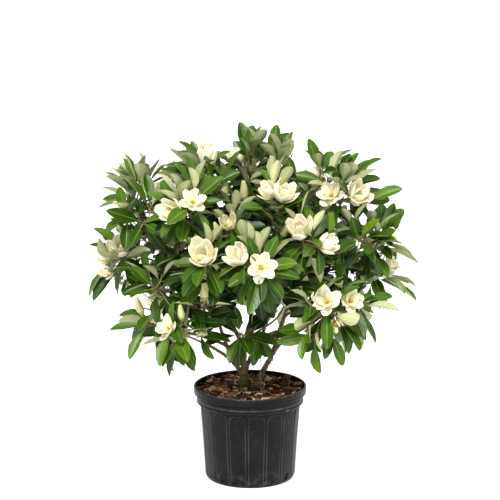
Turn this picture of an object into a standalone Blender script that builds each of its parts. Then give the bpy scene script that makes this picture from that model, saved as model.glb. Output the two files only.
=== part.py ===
"""Sweetbay magnolia in flower, growing in a ribbed nursery pot.

Metres, +Z up. The origin is the centre of the pot's flat underside, and the side that shows in the photo
faces -Y. The trunk and one stem stand on the soil, and four stems fork from the trunk. Boughs leave them, and
every mass of foliage is one solid: a woody shoot from its bough's tip or its limb's side, with twigs, leaves
and flowers fused to it.
"""

import math
import random

import bmesh
import bpy
from mathutils import Matrix, Vector
from mathutils.bvhtree import BVHTree

MM = 0.001
GAP = 0.0003

# The pot's driving dimensions; its side is given as radius and height, from the foot up
POT_HEIGHT = 0.239
RIM_RADIUS = 0.1425
FOOT_RADIUS = 0.111
WALL = 0.0028
FLOOR = 0.004
LIP_FOOT = POT_HEIGHT - 0.020
BODY_TOP = LIP_FOOT - 0.023
ARCH_FOOT = BODY_TOP - 0.022
BODY_SIDE = (
    (0.1152, 0.012),
    (0.1205, 0.100),
    (0.1262, ARCH_FOOT),
    (0.1275, BODY_TOP - 0.004),
    (0.1275, BODY_TOP),
)
BAND_SIDE = ((0.1345, BODY_TOP + 0.0015), (0.1355, LIP_FOOT))
PANELS = 16
PANEL_START = math.radians(-93.7)
SIDES = PANELS * 3
GROOVE_DEPTH = 0.0014
ARCH_RISE = 0.010
DRAIN_RADIUS = 0.0085
DRAIN_HEIGHT = 0.018
DRAIN_START = math.radians(-37.4)
SOIL_LEVEL = POT_HEIGHT - 0.012
STEM_FOOT = SOIL_LEVEL + GAP

# Limbs: lengths, and radii at foot and tip
LEADER_LENGTH = 0.105
LEADER_RADII = (0.0032, 0.0023)
BOUGH_RADII = (0.0048, 0.0033)
TWIG_RADII = (0.0023, 0.0019)
SHOOT_SPLIT = 0.034
STRAIGHT_FOOT = 0.006
LEAN_STEP = 0.008
LEAN_STEPS = 10
CLEARANCE = 0.0007

# Leaves: their size, the widest they reach from their shoot's tip, how deep a root sinks into its twig, and
# the stretch at the root that may touch other leaves of the spray
LEAF_LENGTH = 0.118
LEAF_WIDTH = 0.040
LEAF_THICKNESS_SHARE = 0.024
CLEAR_THICKNESS_SHARE = 0.045
LEAF_FOLD = 0.05
LEAF_DROOP = 0.12
REACH = 0.155
ROOT_SINK = 0.0007
ROOT_ZONE = 0.009

# How leaves stand round a shoot: the turn from one to the next, the stretch of shoot that bears them, the
# angles from the shoot of the first and last one, and the turns aside that one may take to stay clear
GOLDEN_ANGLE = math.radians(137.508)
BEARING_STRETCH = (0.003, 0.052)
UPRIGHT = 0.85
SPREADS = {
    ("vegetative", "upright"): (12, 84),
    ("flowering", "upright"): (36, 94),
    ("vegetative", "leaning"): (20, 104),
    ("flowering", "leaning"): (54, 108),
}
LEAF_TURNS = ((0, 0), (0, 14), (0, -14), (16, 0), (-16, 0), (22, 16), (-22, 16), (32, -8), (-32, -8), (0, 30))

# Stems: the parent that each leaves and the share of the way up it, its route above the soil in millimetres,
# and its radii at foot and tip
STEMS = {
    "trunk": (
        None,
        ((-15, 12, 0), (-15, 12, 12), (-15, 8, 50), (-18, 4, 96), (-8, 0, 140), (3, 0, 180), (0, 0, 258),
         (-5, 5, 385), (0, 18, 470)),
        (0.0105, 0.0036),
    ),
    "stem_left": (
        ("trunk", 0.06),
        ((-24, 4, 42), (-44, -5, 78), (-60, -16, 122), (-82, -32, 186), (-110, -50, 232), (-128, -80, 302),
         (-142, -120, 390), (-150, -150, 440)),
        (0.0060, 0.0033),
    ),
    "stem_right": (
        None,
        ((13, -2, 0), (13, -2, 10), (30, -6, 44), (56, -12, 94), (70, -18, 141), (84, -24, 190),
         (112, -35, 266), (168, -46, 366), (203, -52, 440)),
        (0.0076, 0.0034),
    ),
    "stem_middle": (
        ("trunk", 0.085),
        ((-3, 22, 66), (12, 32, 90), (28, 33, 122), (38, 22, 158), (52, 0, 196), (64, -22, 228),
         (80, -62, 322), (72, -110, 420)),
        (0.0056, 0.0033),
    ),
    "stem_back_left": (
        ("trunk", 0.125),
        ((-20, 36, 95), (-38, 68, 135), (-78, 112, 210), (-112, 150, 320), (-138, 176, 430)),
        (0.0058, 0.0033),
    ),
    "stem_back_right": (
        ("trunk", 0.17),
        ((-8, 34, 112), (14, 72, 150), (54, 114, 215), (92, 148, 320), (120, 176, 430)),
        (0.0058, 0.0033),
    ),
}
STEM_TAPER = 2.2
FLARE_HEIGHT = 0.045
FLARE_SHARE = 0.55

# Masses of foliage that the photo shows: parent limb, share of the way up it, the bough it needs, if any, and
# its shoots. Each shoot has its tip or its flower's middle in millimetres, the bearing and rise of its end in
# degrees, its flower's stage and width in millimetres, its number of leaves, and which spiral they take. The
# first is the main shoot.
FRONT_MASSES = {
    "foliage_left_upper": ("stem_left", 0.62, "bough_left_upper", (
        ((-288, -22, 736), (140, 74), "", 0, 13, 19),
        ((-244, -42, 747), (-50, 35), "half", 50, 4, 38),
        ((-317, -50, 703), (205, 20), "cup", 42, 5, 31),
        ((-262, -112, 672), (225, 20), "", 0, 7, 1),
    )),
    "foliage_left_top": ("stem_left", 1.0, "", (
        ((-161, -195, 740), (200, 78), "", 0, 10, 32),
        ((-133, -238, 757), (-80, 35), "open", 66, 4, 34),
        ((-186, -232, 727), (225, 22), "half", 62, 6, 54),
    )),
    "foliage_top_left": ("trunk", 0.66, "bough_top_left", (
        ((-105, -66, 836), (-80, 72), "cup", 52, 12, 58),
        ((-61, -100, 757), (-70, 70), "bud", 22, 4, 30),
        ((-128, -40, 792), (165, 74), "", 0, 8, 57),
    )),
    "foliage_top": ("trunk", 1.0, "", (
        ((-4, 30, 816), (100, 84), "", 0, 14, 45),
        ((-36, 8, 822), (170, 60), "cup", 42, 3, 18),
        ((8, -6, 800), (-60, 80), "bud", 20, 2, 40),
        ((-15, -84, 750), (-100, 75), "bud", 24, 4, 25),
    )),
    "foliage_top_right": ("trunk", 0.74, "bough_top_right", (
        ((64, -30, 822), (15, 74), "", 0, 14, 54),
        ((112, -58, 775), (-30, 45), "", 0, 7, 20),
    )),
    "foliage_right_top": ("stem_right", 1.0, "", (
        ((238, -60, 774), (10, 78), "", 0, 14, 56),
        ((194, -112, 751), (-105, 35), "open", 72, 5, 54),
        ((263, -92, 743), (-55, 30), "half", 62, 6, 17),
        ((157, -40, 784), (120, 60), "half", 48, 6, 3),
    )),
    "foliage_right": ("stem_right", 0.66, "bough_right", (
        ((328, -58, 640), (0, 56), "", 0, 13, 40),
        ((344, -74, 640), (-20, 40), "cup", 36, 3, 24),
        ((262, -118, 640), (-60, 30), "", 0, 7, 18),
    )),
    "foliage_right_middle": ("stem_right", 0.56, "bough_right_middle", (
        ((118, -228, 686), (-115, 50), "half", 62, 9, 1),
        ((184, -240, 652), (-25, 20), "half", 54, 8, 9),
    )),
    "foliage_top_front": ("stem_middle", 1.0, "", (
        ((64, -178, 722), (-95, 70), "", 0, 11, 19),
        ((82, -188, 765), (-60, 50), "half", 58, 3, 59),
        ((44, -190, 770), (-140, 45), "half", 50, 3, 57),
        ((88, -212, 674), (-70, 45), "bud", 22, 3, 14),
    )),
    "foliage_front": ("stem_middle", 0.52, "bough_front", (
        ((28, -330, 614), (-82, 12), "open", 76, 12, 59),
        ((-28, -318, 640), (-130, 40), "half", 58, 5, 4),
    )),
    "foliage_front_left": ("stem_left", 0.44, "bough_front_left", (
        ((-110, -298, 640), (-100, 38), "half", 70, 12, 43),
    )),
    "foliage_left": ("stem_left", 0.36, "bough_left", (
        ((-318, -90, 614), (-100, 45), "half", 58, 9, 47),
        ((-362, -72, 585), (190, 30), "cup", 38, 6, 42),
        ((-352, -104, 552), (-120, 10), "spent", 34, 5, 20),
    )),
    "foliage_left_low": ("bough_left", 0.55, "", (((-238, -148, 522), (235, 12), "", 0, 9, 6),)),
    "foliage_low_left": ("stem_left", 0.10, "bough_low_left", (
        ((-204, -200, 440), (215, 25), "open", 70, 10, 43),
        ((-160, -160, 430), (-60, -10), "", 0, 6, 19),
        ((-166, -196, 474), (-110, 70), "bud", 20, 2, 43),
    )),
    "foliage_far_low_left": ("stem_left", 0.22, "bough_far_low_left", (
        ((-250, -128, 430), (200, 10), "", 0, 12, 38),
        ((-270, -146, 478), (180, 72), "bud", 22, 3, 25),
    )),
    "foliage_low_right": ("stem_right", 0.22, "bough_low_right", (
        ((180, -250, 518), (-105, 32), "open", 76, 10, 49),
        ((206, -236, 452), (-80, -10), "spent", 34, 4, 53),
        ((214, -200, 456), (-70, -34), "", 0, 10, 30),
    )),
    "foliage_far_low_right": ("stem_right", 0.32, "bough_far_low_right", (
        ((244, -222, 512), (-70, 32), "open", 66, 9, 54),
        ((282, -160, 482), (-10, 0), "", 0, 7, 58),
    )),
    "foliage_right_low": ("stem_right", 0.44, "bough_right_low", (
        ((347, -42, 556), (-30, 45), "half", 50, 11, 46),
    )),
    "foliage_left_middle": ("stem_left", 0.5, "", (((-111, -192, 528), (-100, 80), "bud", 26, 8, 1),)),
    "foliage_middle": ("trunk", 0.62, "bough_middle", (
        ((-52, -216, 700), (-110, 45), "spent", 42, 9, 10),
        ((-78, -200, 680), (-150, 65), "bud", 18, 3, 52),
    )),
    "foliage_low_front": ("trunk", 0.22, "", (
        ((-26, -140, 405), (-95, 6), "", 0, 9, 14),
        ((32, -120, 392), (-60, 0), "", 0, 6, 59),
    )),
}

# The crown's far side, which the photo hides: height, reach across and back, and number of masses a tier, and
# where their boughs leave the stems
BACK_TIERS = ((0.435, 0.285, 0.265, 4), (0.575, 0.320, 0.290, 5), (0.715, 0.215, 0.215, 3))
BACK_SPAN = (math.radians(8), math.radians(172))
BACK_LEAVES = 13
BACK_BOUGH_FROM = 0.27
FIRST_FOOT = 0.030
FOOT_APART = 0.026
BELOW_TIP = 0.11
BACK_STAGES = ("open", "half", "bud", "cup", "half", "bud", "open")
BACK_WIDTHS = {"open": 72, "half": 60, "cup": 46, "bud": 22, "spent": 36}
BACK_TOPS = (("stem_back_left", (-14, 20, 96), "half"), ("stem_back_right", (14, 20, 84), "cup"))

# Flower outlines as radius and height shares from the stalk over the rim to the middle, then the number of
# sides, the share by which the petals between are drawn in, and which point of the outline is the rim
FLOWER_SHAPES = {
    "bud": (((0, 0), (0.22, 0.40), (0, 1)), 5, 0.0, 1),
    "cup": (((0, 0), (0.44, 0.40), (0.38, 0.95), (0, 0.5)), 6, 0.16, 2),
    "half": (((0, 0), (0.52, 0.40), (0.62, 0.92), (0, 0.3)), 6, 0.18, 2),
    "open": (((0, 0), (0.30, 0.06), (1.05, 0.62), (0, 0.2)), 9, 0.16, 2),
    "spent": (((0, 0), (0.46, 0.50), (0, 0.9)), 6, 0.22, 1),
}

# Surface colours, roughness
FINISHES = {
    "pot_plastic": ((0.030, 0.030, 0.032), 0.42),
    "bark_mulch": ((0.085, 0.042, 0.024), 0.95),
    "bark": ((0.130, 0.098, 0.070), 0.85),
    "foliage": ((0.060, 0.190, 0.025), 0.40),
}


def clear_scene():
    for obj in list(bpy.data.objects):
        bpy.data.objects.remove(obj, do_unlink=True)


def finish(name):
    material = bpy.data.materials.get(name)
    if material is None:
        colour, roughness = FINISHES[name]
        material = bpy.data.materials.new(name)
        material.use_nodes = True
        shader = material.node_tree.nodes["Principled BSDF"]
        shader.inputs["Base Color"].default_value = (*colour, 1.0)
        shader.inputs["Roughness"].default_value = roughness
        shader.inputs["Metallic"].default_value = 0.0
    return material


def mesh_from(bm, name):
    mesh = bpy.data.meshes.new(name)
    bm.to_mesh(mesh)
    bm.free()
    return mesh


def add_object(name, mesh, collection):
    obj = bpy.data.objects.new(name, mesh)
    collection.objects.link(obj)
    return obj


def bearing(degrees_round, degrees_up):
    """The direction at a bearing from +X towards +Y and a rise above level."""
    turn = math.radians(degrees_round)
    rise = math.radians(degrees_up)
    return Vector((math.cos(turn) * math.cos(rise), math.sin(turn) * math.cos(rise), math.sin(rise)))


def real(point):
    return Vector(point) * MM


# Turned shapes


def turned(profile, sides, start=0.0):
    """A closed bmesh that turns a (radius, height) profile about Z; its two ends lie on the axis."""
    bm = bmesh.new()
    way = (math.cos(start), math.sin(start))
    verts = [bm.verts.new((radius * way[0], radius * way[1], height)) for radius, height in profile]
    edges = [bm.edges.new(pair) for pair in zip(verts, verts[1:])]
    bmesh.ops.spin(
        bm, geom=verts + edges, cent=(0, 0, 0), axis=(0, 0, 1), angle=math.tau, steps=sides, use_merge=True
    )
    bmesh.ops.remove_doubles(bm, verts=bm.verts, dist=1e-6)
    bmesh.ops.recalc_face_normals(bm, faces=bm.faces)
    return bm


def inner_profile():
    """The pot's inside from the floor's edge up to the rim."""
    return (
        (FOOT_RADIUS - WALL, FLOOR),
        (0.1158 - WALL, 0.016),
        (0.1270 - WALL, BODY_TOP - 0.008),
        (BAND_SIDE[0][0] - WALL, BODY_TOP + 0.004),
        (BAND_SIDE[1][0] - WALL, LIP_FOOT - 0.001),
        (RIM_RADIUS - 0.0045, LIP_FOOT + 0.006),
    )


def make_pot(parts):
    """The moulded pot: flat foot, sixteen arched panels, band, rolled lip and four drain holes."""
    foot = ((0, 0), (FOOT_RADIUS - 0.004, 0), (FOOT_RADIUS, 0.0015))
    lip = (
        (RIM_RADIUS, LIP_FOOT + 0.001),
        (RIM_RADIUS, POT_HEIGHT - 0.003),
        (RIM_RADIUS - 0.0015, POT_HEIGHT),
        (RIM_RADIUS - 0.0040, POT_HEIGHT),
    )
    inside = tuple(reversed(inner_profile())) + ((0, FLOOR),)
    bm = turned(foot + BODY_SIDE + BAND_SIDE + lip + inside, SIDES, PANEL_START)
    for vert in bm.verts:
        radius = math.hypot(vert.co.x, vert.co.y)
        on_side = any(abs(vert.co.z - z) < 1e-5 and abs(radius - r) < 1e-5 for r, z in BODY_SIDE[:-1])
        step = (math.atan2(vert.co.y, vert.co.x) - PANEL_START) / math.tau * SIDES
        if on_side and round(step) % 3 == 0:
            shrink = (radius - GROOVE_DEPTH) / radius
            vert.co.x *= shrink
            vert.co.y *= shrink
            vert.co.z = min(vert.co.z, ARCH_FOOT + ARCH_RISE)
    pot = add_object("pot", mesh_from(bm, "pot"), parts)
    holes = bmesh.new()
    for quarter in range(4):
        turn = DRAIN_START + quarter * math.tau / 4
        place = (
            Matrix.Rotation(turn, 4, "Z")
            @ Matrix.Translation((0.115, 0, DRAIN_HEIGHT))
            @ Matrix.Rotation(math.pi / 2, 4, "Y")
        )
        bmesh.ops.create_cone(
            holes,
            cap_ends=True,
            segments=10,
            radius1=DRAIN_RADIUS,
            radius2=DRAIN_RADIUS,
            depth=0.016,
            matrix=place,
        )
    cut(pot, holes, "drain_holes")
    return pot


def cutters():
    found = bpy.data.collections.get("cutters")
    if found is None:
        found = bpy.data.collections.new("cutters")
        bpy.context.scene.collection.children.link(found)
        found.hide_render = True
    return found


def add_cutter(name, bm):
    cutter = add_object(name, mesh_from(bm, name), cutters())
    cutter.hide_render = True
    cutter.display_type = "WIRE"
    return cutter


def cut(obj, bm, name):
    modifier = obj.modifiers.new(name, "BOOLEAN")
    modifier.operation = "DIFFERENCE"
    modifier.object = add_cutter(name, bm)
    apply_modifiers(obj)
    bpy.data.objects.remove(bpy.data.objects[name])


def apply_modifiers(obj):
    bpy.context.view_layer.update()
    graph = bpy.context.evaluated_depsgraph_get()
    mesh = bpy.data.meshes.new_from_object(obj.evaluated_get(graph))
    obj.modifiers.clear()
    obj.data = mesh


def make_soil(parts):
    """The potting mix, a gap clear of the pot's inside, with its flat top a little below the rim."""
    side = [(radius - GAP, height + (GAP if height <= FLOOR else 0)) for radius, height in inner_profile()]
    below = [(radius, height) for radius, height in side if height < SOIL_LEVEL]
    top_radius = below[-1][0]
    profile = [(0, FLOOR + GAP)] + below + [(top_radius, SOIL_LEVEL - 0.001), (top_radius - 0.002, SOIL_LEVEL)]
    bm = turned(profile + [(0, SOIL_LEVEL)], SIDES, PANEL_START)
    return add_object("soil", mesh_from(bm, "soil"), parts)


# Limbs


def smooth_route(points, steps):
    """Points on the smooth curve through the given ones (Catmull-Rom), with this many steps a span."""
    route = []
    last = len(points) - 1
    for i in range(last):
        before, start, end, after = (points[min(max(k, 0), last)] for k in (i - 1, i, i + 1, i + 2))
        for step in range(steps):
            t = step / steps
            route.append(
                0.5
                * (
                    2 * start
                    + (end - before) * t
                    + (2 * before - 5 * start + 4 * end - after) * t**2
                    + (3 * start - before - 3 * end + after) * t**3
                )
            )
    return route + [points[-1].copy()]


def bend(foot, way_out, tip, way_in, steps, lean=Vector()):
    """Points along one smooth bend that leaves foot along way_out and reaches tip along way_in."""
    handle = (tip - foot).length * 0.38
    first = foot + way_out * handle + lean
    second = tip - way_in * handle + lean
    route = []
    for step in range(steps + 1):
        t = step / steps
        u = 1 - t
        route.append(u**3 * foot + 3 * u * u * t * first + 3 * u * t * t * second + t**3 * tip)
    return route


class Limb:
    """A tapering limb: the points of its centre line and the radius at each."""

    def __init__(self, points, radii, taper=1.0):
        self.points = points
        self.runs = [0.0]
        for start, end in zip(points, points[1:]):
            self.runs.append(self.runs[-1] + (end - start).length)
        self.length = self.runs[-1]
        thinning = [(1 - run / self.length) ** taper for run in self.runs]
        self.radii = [radii[1] + (radii[0] - radii[1]) * share for share in thinning]

    def at(self, run):
        """The point, direction and radius at a distance from the foot."""
        run = min(max(run, 0.0), self.length)
        i = max(k for k in range(len(self.runs) - 1) if self.runs[k] <= run)
        share = (run - self.runs[i]) / (self.runs[i + 1] - self.runs[i])
        way = self.points[i + 1] - self.points[i]
        point = self.points[i] + way * share
        return point, way.normalized(), self.radii[i] + (self.radii[i + 1] - self.radii[i]) * share


def flared(limb):
    """Widens a limb towards the soil, as roots gather at its foot."""
    for i, run in enumerate(limb.runs):
        limb.radii[i] *= 1 + FLARE_SHARE * max(0.0, 1 - run / FLARE_HEIGHT) ** 2
    return limb


def tube_shell(points, radii, sides):
    """Vertices and faces of a closed tube, for tests of clearance."""
    verts, faces = [], []
    side = (points[1] - points[0]).orthogonal().normalized()
    for i, point in enumerate(points):
        way = (points[min(i + 1, len(points) - 1)] - points[max(i - 1, 0)]).normalized()
        side = (side - way * side.dot(way)).normalized()
        across = way.cross(side)
        for k in range(sides):
            turn = math.tau * k / sides
            verts.append(point + (side * math.cos(turn) + across * math.sin(turn)) * radii[i])
            if i:
                low = (i - 1) * sides
                nxt = (k + 1) % sides
                faces.append((low + k, low + nxt, low + sides + nxt, low + sides + k))
    faces.append(tuple(reversed(range(sides))))
    faces.append(tuple(range(len(verts) - sides, len(verts))))
    return verts, faces


def triangle_profile():
    """The three-cornered outline that twigs are swept from."""
    name = "twig_outline"
    found = bpy.data.objects.get(name)
    if found is None:
        curve = bpy.data.curves.new(name, "CURVE")
        spline = curve.splines.new("POLY")
        spline.points.add(2)
        for k, point in enumerate(spline.points):
            turn = math.tau * k / 3
            point.co = (math.cos(turn), math.sin(turn), 0, 1)
        spline.use_cyclic_u = True
        found = bpy.data.objects.new(name, curve)
        cutters().objects.link(found)
        found.hide_render = True
        found.display_type = "WIRE"
    return found


def tube_mesh(name, points, radii, sides):
    """The mesh of a tapering tube with closed ends, from a bevelled curve."""
    curve = bpy.data.curves.new(name, "CURVE")
    curve.dimensions = "3D"
    curve.use_fill_caps = True
    if sides == 3:
        curve.bevel_mode = "OBJECT"
        curve.bevel_object = triangle_profile()
    else:
        curve.bevel_depth = 1.0
        curve.bevel_resolution = (sides - 4) // 2
    spline = curve.splines.new("POLY")
    spline.points.add(len(points) - 1)
    for node, point, radius in zip(spline.points, points, radii):
        node.co = (*point, 1)
        node.radius = radius
    swept = bpy.data.objects.new(name, curve)
    bpy.context.scene.collection.objects.link(swept)
    bpy.context.view_layer.update()
    mesh = bpy.data.meshes.new_from_object(swept.evaluated_get(bpy.context.evaluated_depsgraph_get()))
    bpy.data.objects.remove(swept)
    bm = bmesh.new()
    bm.from_mesh(mesh)
    bmesh.ops.remove_doubles(bm, verts=bm.verts, dist=1e-6)
    bmesh.ops.recalc_face_normals(bm, faces=bm.faces)
    bm.to_mesh(mesh)
    bm.free()
    return mesh


# Clearance


class Space:
    """What each node already fills, so that a new piece can be kept clear of the others."""

    def __init__(self):
        self.filled = []

    def add(self, owner, verts, faces):
        low = Vector([min(v[k] for v in verts) for k in range(3)])
        high = Vector([max(v[k] for v in verts) for k in range(3)])
        self.filled.append((owner, low, high, BVHTree.FromPolygons(verts, faces)))

    def is_free(self, owners, verts, faces):
        """True where a piece touches nothing but the nodes named as its owners."""
        low = [min(v[k] for v in verts) for k in range(3)]
        high = [max(v[k] for v in verts) for k in range(3)]
        if low[2] < SOIL_LEVEL + 0.004:
            return False
        tree = None
        for other, other_low, other_high, other_tree in self.filled:
            if other in owners or any(low[k] > other_high[k] or high[k] < other_low[k] for k in range(3)):
                continue
            tree = tree or BVHTree.FromPolygons(verts, faces)
            if tree.overlap(other_tree):
                return False
        return True


def free_bend(space, owner, parent, foot, parent_radius, way_out, tip, way_in, radii, steps):
    """The straightest bend from foot to tip that touches nothing; it leans further aside while it must."""
    across = way_out.cross(tip - foot).normalized()
    over = across.cross((tip - foot).normalized())
    for lean in range(LEAN_STEPS):
        for k in range(8 if lean else 1):
            turn = math.tau * k / 8
            aside = (across * math.cos(turn) + over * math.sin(turn)) * lean * LEAN_STEP
            limb = Limb(bend(foot, way_out, tip, way_in, steps, aside), radii)
            start = min(parent_radius * 2.2 + 0.003, limb.length * 0.4) if parent_radius else 0.002
            rest = [limb.at(start)[0]] + [p for p, run in zip(limb.points, limb.runs) if run > start + 0.001]
            clear_of_others = tube_shell(limb.points, [max(radii) + CLEARANCE] * len(limb.points), 5)
            clear_of_parent = tube_shell(rest, [max(radii) + CLEARANCE] * len(rest), 5)
            if space.is_free((owner, parent), *clear_of_others) and space.is_free((owner,), *clear_of_parent):
                return limb
    raise RuntimeError(f"{owner} has no free way to its tip")


# Leaves and flowers


def leaf_template(thickness_share):
    """One leaf of unit length and width, root at the origin, tip along +Y: a folded, drooping lens."""
    bm = bmesh.new()
    for side in (1, -1):
        bmesh.ops.create_cone(
            bm,
            cap_ends=False,
            segments=4,
            radius1=1,
            radius2=0,
            depth=1,
            matrix=Matrix.Diagonal((1, 1, side, 1)) @ Matrix.Translation((0, 0, 0.5)),
        )
    bmesh.ops.remove_doubles(bm, verts=bm.verts, dist=1e-4)
    for vert in bm.verts:
        if math.hypot(vert.co.x, vert.co.y) > 0.5:
            turn = math.atan2(vert.co.x, vert.co.y)
            along = 0.5 + 0.5 * math.cos(turn)
            vert.co = (0.56 * math.sin(turn), along, LEAF_FOLD * abs(math.sin(turn)) - LEAF_DROOP * along**2)
        else:
            vert.co = (0, 0.5, math.copysign(thickness_share / 2, vert.co.z) - LEAF_DROOP * 0.2)
    bmesh.ops.recalc_face_normals(bm, faces=bm.faces)
    return mesh_from(bm, "leaf_outline")


def flower_template(stage):
    """One flower of unit height on +Z, with its petals as lobes of the rim."""
    profile, sides, drawn_in, rim = FLOWER_SHAPES[stage]
    bm = turned(profile, sides)
    rim_radius, rim_height = profile[rim]
    for vert in bm.verts:
        if abs(math.hypot(vert.co.x, vert.co.y) - rim_radius) < 1e-4 and abs(vert.co.z - rim_height) < 1e-4:
            step = round((math.atan2(vert.co.y, vert.co.x)) / math.tau * sides)
            if step % (3 if sides == 9 else 2):
                vert.co.x *= 1 - drawn_in
                vert.co.y *= 1 - drawn_in
                vert.co.z *= 1 - drawn_in / 2
    return mesh_from(bm, "flower_" + stage)


def rosette(limb, count, seed, flowering):
    """Root, direction, face, length and width of the leaves that spiral down from a shoot's tip."""
    rng = random.Random(seed)
    turn = rng.uniform(0, math.tau)
    upright = "upright" if limb.at(limb.length)[1].z > UPRIGHT else "leaning"
    narrow, wide = SPREADS["flowering" if flowering else "vegetative", upright]
    for i in range(count):
        share = (i + 0.5) / count
        point, way, _ = limb.at(limb.length - BEARING_STRETCH[0] - BEARING_STRETCH[1] * share)
        spread = math.radians(narrow + (wide - narrow) * share**0.8 + rng.uniform(-8, 8))
        turn += GOLDEN_ANGLE + rng.uniform(-0.16, 0.16)
        side = way.orthogonal().normalized()
        side = Matrix.Rotation(turn, 3, way) @ side
        blade = way * math.cos(spread) + side * math.sin(spread)
        blade.z -= 0.02 + 0.20 * share
        blade.normalize()
        face = way * 0.7 + Vector((0, 0, 0.5))
        face = (face - blade * face.dot(blade)).normalized()
        face = Matrix.Rotation(rng.uniform(-0.4, 0.4), 3, blade) @ face
        size = 0.86 + 0.18 * min(1.0, share * 1.7) - 0.32 * max(0.0, share - 0.75) + rng.uniform(-0.06, 0.06)
        width = LEAF_WIDTH * (0.55 + 0.45 * size) * rng.uniform(0.92, 1.1)
        if i % 3 != 2:
            yield point, blade, face, LEAF_LENGTH * size, width


def leaf_matrix(root, blade, face, length, width):
    side = blade.cross(face)
    return placed((side * width, blade * length, face * length, root - blade * ROOT_SINK))


def placed(columns):
    matrix = Matrix.Identity(4)
    for k, column in enumerate(columns):
        for row in range(3):
            matrix[row][k] = column[row]
    return matrix


def shell_of(mesh, matrix):
    return [matrix @ v.co for v in mesh.vertices], [tuple(p.vertices) for p in mesh.polygons]


# Masses


class Mass:
    """One mass of foliage while it grows: its main shoot first, then the others, and what is fused to them."""

    def __init__(self, name):
        self.name = name
        self.shoots = []
        self.pieces = []
        self.own = Space()

    def fill(self, space, mesh, matrix=None):
        for filled in (space, self.own):
            filled.add(self.name, *shell_of(mesh, matrix or Matrix.Identity(4)))


def flower_seat(space, name, centre, way, stage, width, templates):
    """Where a shoot ends under its flower, moved aside a little where the flower would touch another node."""
    side = way.orthogonal().normalized()
    over = way.cross(side)
    height = width * MM / 2 / max(radius for radius, _ in FLOWER_SHAPES[stage][0])
    for nudge in range(17):
        turn = math.tau * nudge / 8
        aside = (side * math.cos(turn) + over * math.sin(turn)) * 0.007 * math.ceil(nudge / 8)
        seat = real(centre) + aside - way * height * 0.45
        wider = placed((side * height * 1.05, over * height * 1.05, way * height * 1.05, seat - way * 0.004))
        if space.is_free((name,), *shell_of(templates[stage], wider)):
            break
    return seat, placed((side * height, over * height, way * height, seat - way * 0.003))


def grow_shoot(space, mass, row, templates):
    """A side shoot from the main one, with its flower if it has one."""
    centre, facing, stage, width, leaves, spiral = row
    way = bearing(*facing)
    tip = real(centre)
    if stage:
        tip, matrix = flower_seat(space, mass.name, centre, way, stage, width, templates)
        mass.pieces.append((templates[stage], matrix))
        mass.fill(space, templates[stage], matrix)
    leader = mass.shoots[0][0]
    away = min(SHOOT_SPLIT, leader.length * 0.4) if stage else leader.length * 0.5
    start, leader_way, _ = leader.at(leader.length - away)
    limb = free_bend(space, mass.name, "", start, 0.0, leader_way, tip, way, TWIG_RADII, 3)
    limb.mesh = tube_mesh("twig", limb.points, limb.radii, 3)
    mass.fill(space, limb.mesh)
    mass.shoots.append((limb, leaves, spiral, bool(stage)))


def grow_leaves(space, mass, leaf, clear_leaf):
    """Adds each shoot's leaves; one that would touch something turns aside a little, or is left out."""
    for number, (limb, count, spiral, flowering) in enumerate(mass.shoots):
        tip = limb.points[-1]
        way = limb.at(limb.length)[1]
        seed = f"{mass.name} {number} {spiral}"
        for root, blade, face, length, width in rosette(limb, count, seed, flowering):
            for around, down in LEAF_TURNS:
                lift = Matrix.Rotation(math.radians(down), 3, way.cross(blade).normalized())
                swing = Matrix.Rotation(math.radians(around), 3, way) @ lift
                new_blade, new_face = swing @ blade, swing @ face
                wider = leaf_matrix(root, new_blade, new_face, length * 1.02, width * 1.08)
                outer_root = root + new_blade * ROOT_ZONE
                outer = leaf_matrix(outer_root, new_blade, new_face, length - ROOT_ZONE, width)
                near = (root + new_blade * length - tip).length < REACH
                if near and space.is_free((mass.name,), *shell_of(clear_leaf, wider)):
                    if mass.own.is_free((), *shell_of(leaf, outer)):
                        break
            else:
                continue
            matrix = leaf_matrix(root, new_blade, new_face, length, width)
            space.add(mass.name, *shell_of(leaf, matrix))
            mass.own.add(mass.name, *shell_of(leaf, outer))
            mass.pieces.append((leaf, matrix))


def islands(bm):
    """The bmesh's separate shells, as lists of faces."""
    left = set(bm.faces)
    while left:
        group = [left.pop()]
        for face in group:
            for edge in face.edges:
                for other in edge.link_faces:
                    if other in left:
                        left.remove(other)
                        group.append(other)
        yield group


def keep_main_shell(mesh):
    """Fills sealed hollows and drops loose scraps, leaving the one largest shell."""
    bm = bmesh.new()
    bm.from_mesh(mesh)
    groups = sorted(islands(bm), key=len)
    for group in groups[:-1]:
        bmesh.ops.delete(bm, geom=group, context="FACES")
    bmesh.ops.delete(bm, geom=[v for v in bm.verts if not v.link_faces], context="VERTS")
    bm.to_mesh(mesh)
    bm.free()


def is_closed(mesh):
    bm = bmesh.new()
    bm.from_mesh(mesh)
    closed = bool(bm.faces) and all(edge.is_manifold for edge in bm.edges)
    bm.free()
    return closed


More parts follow.
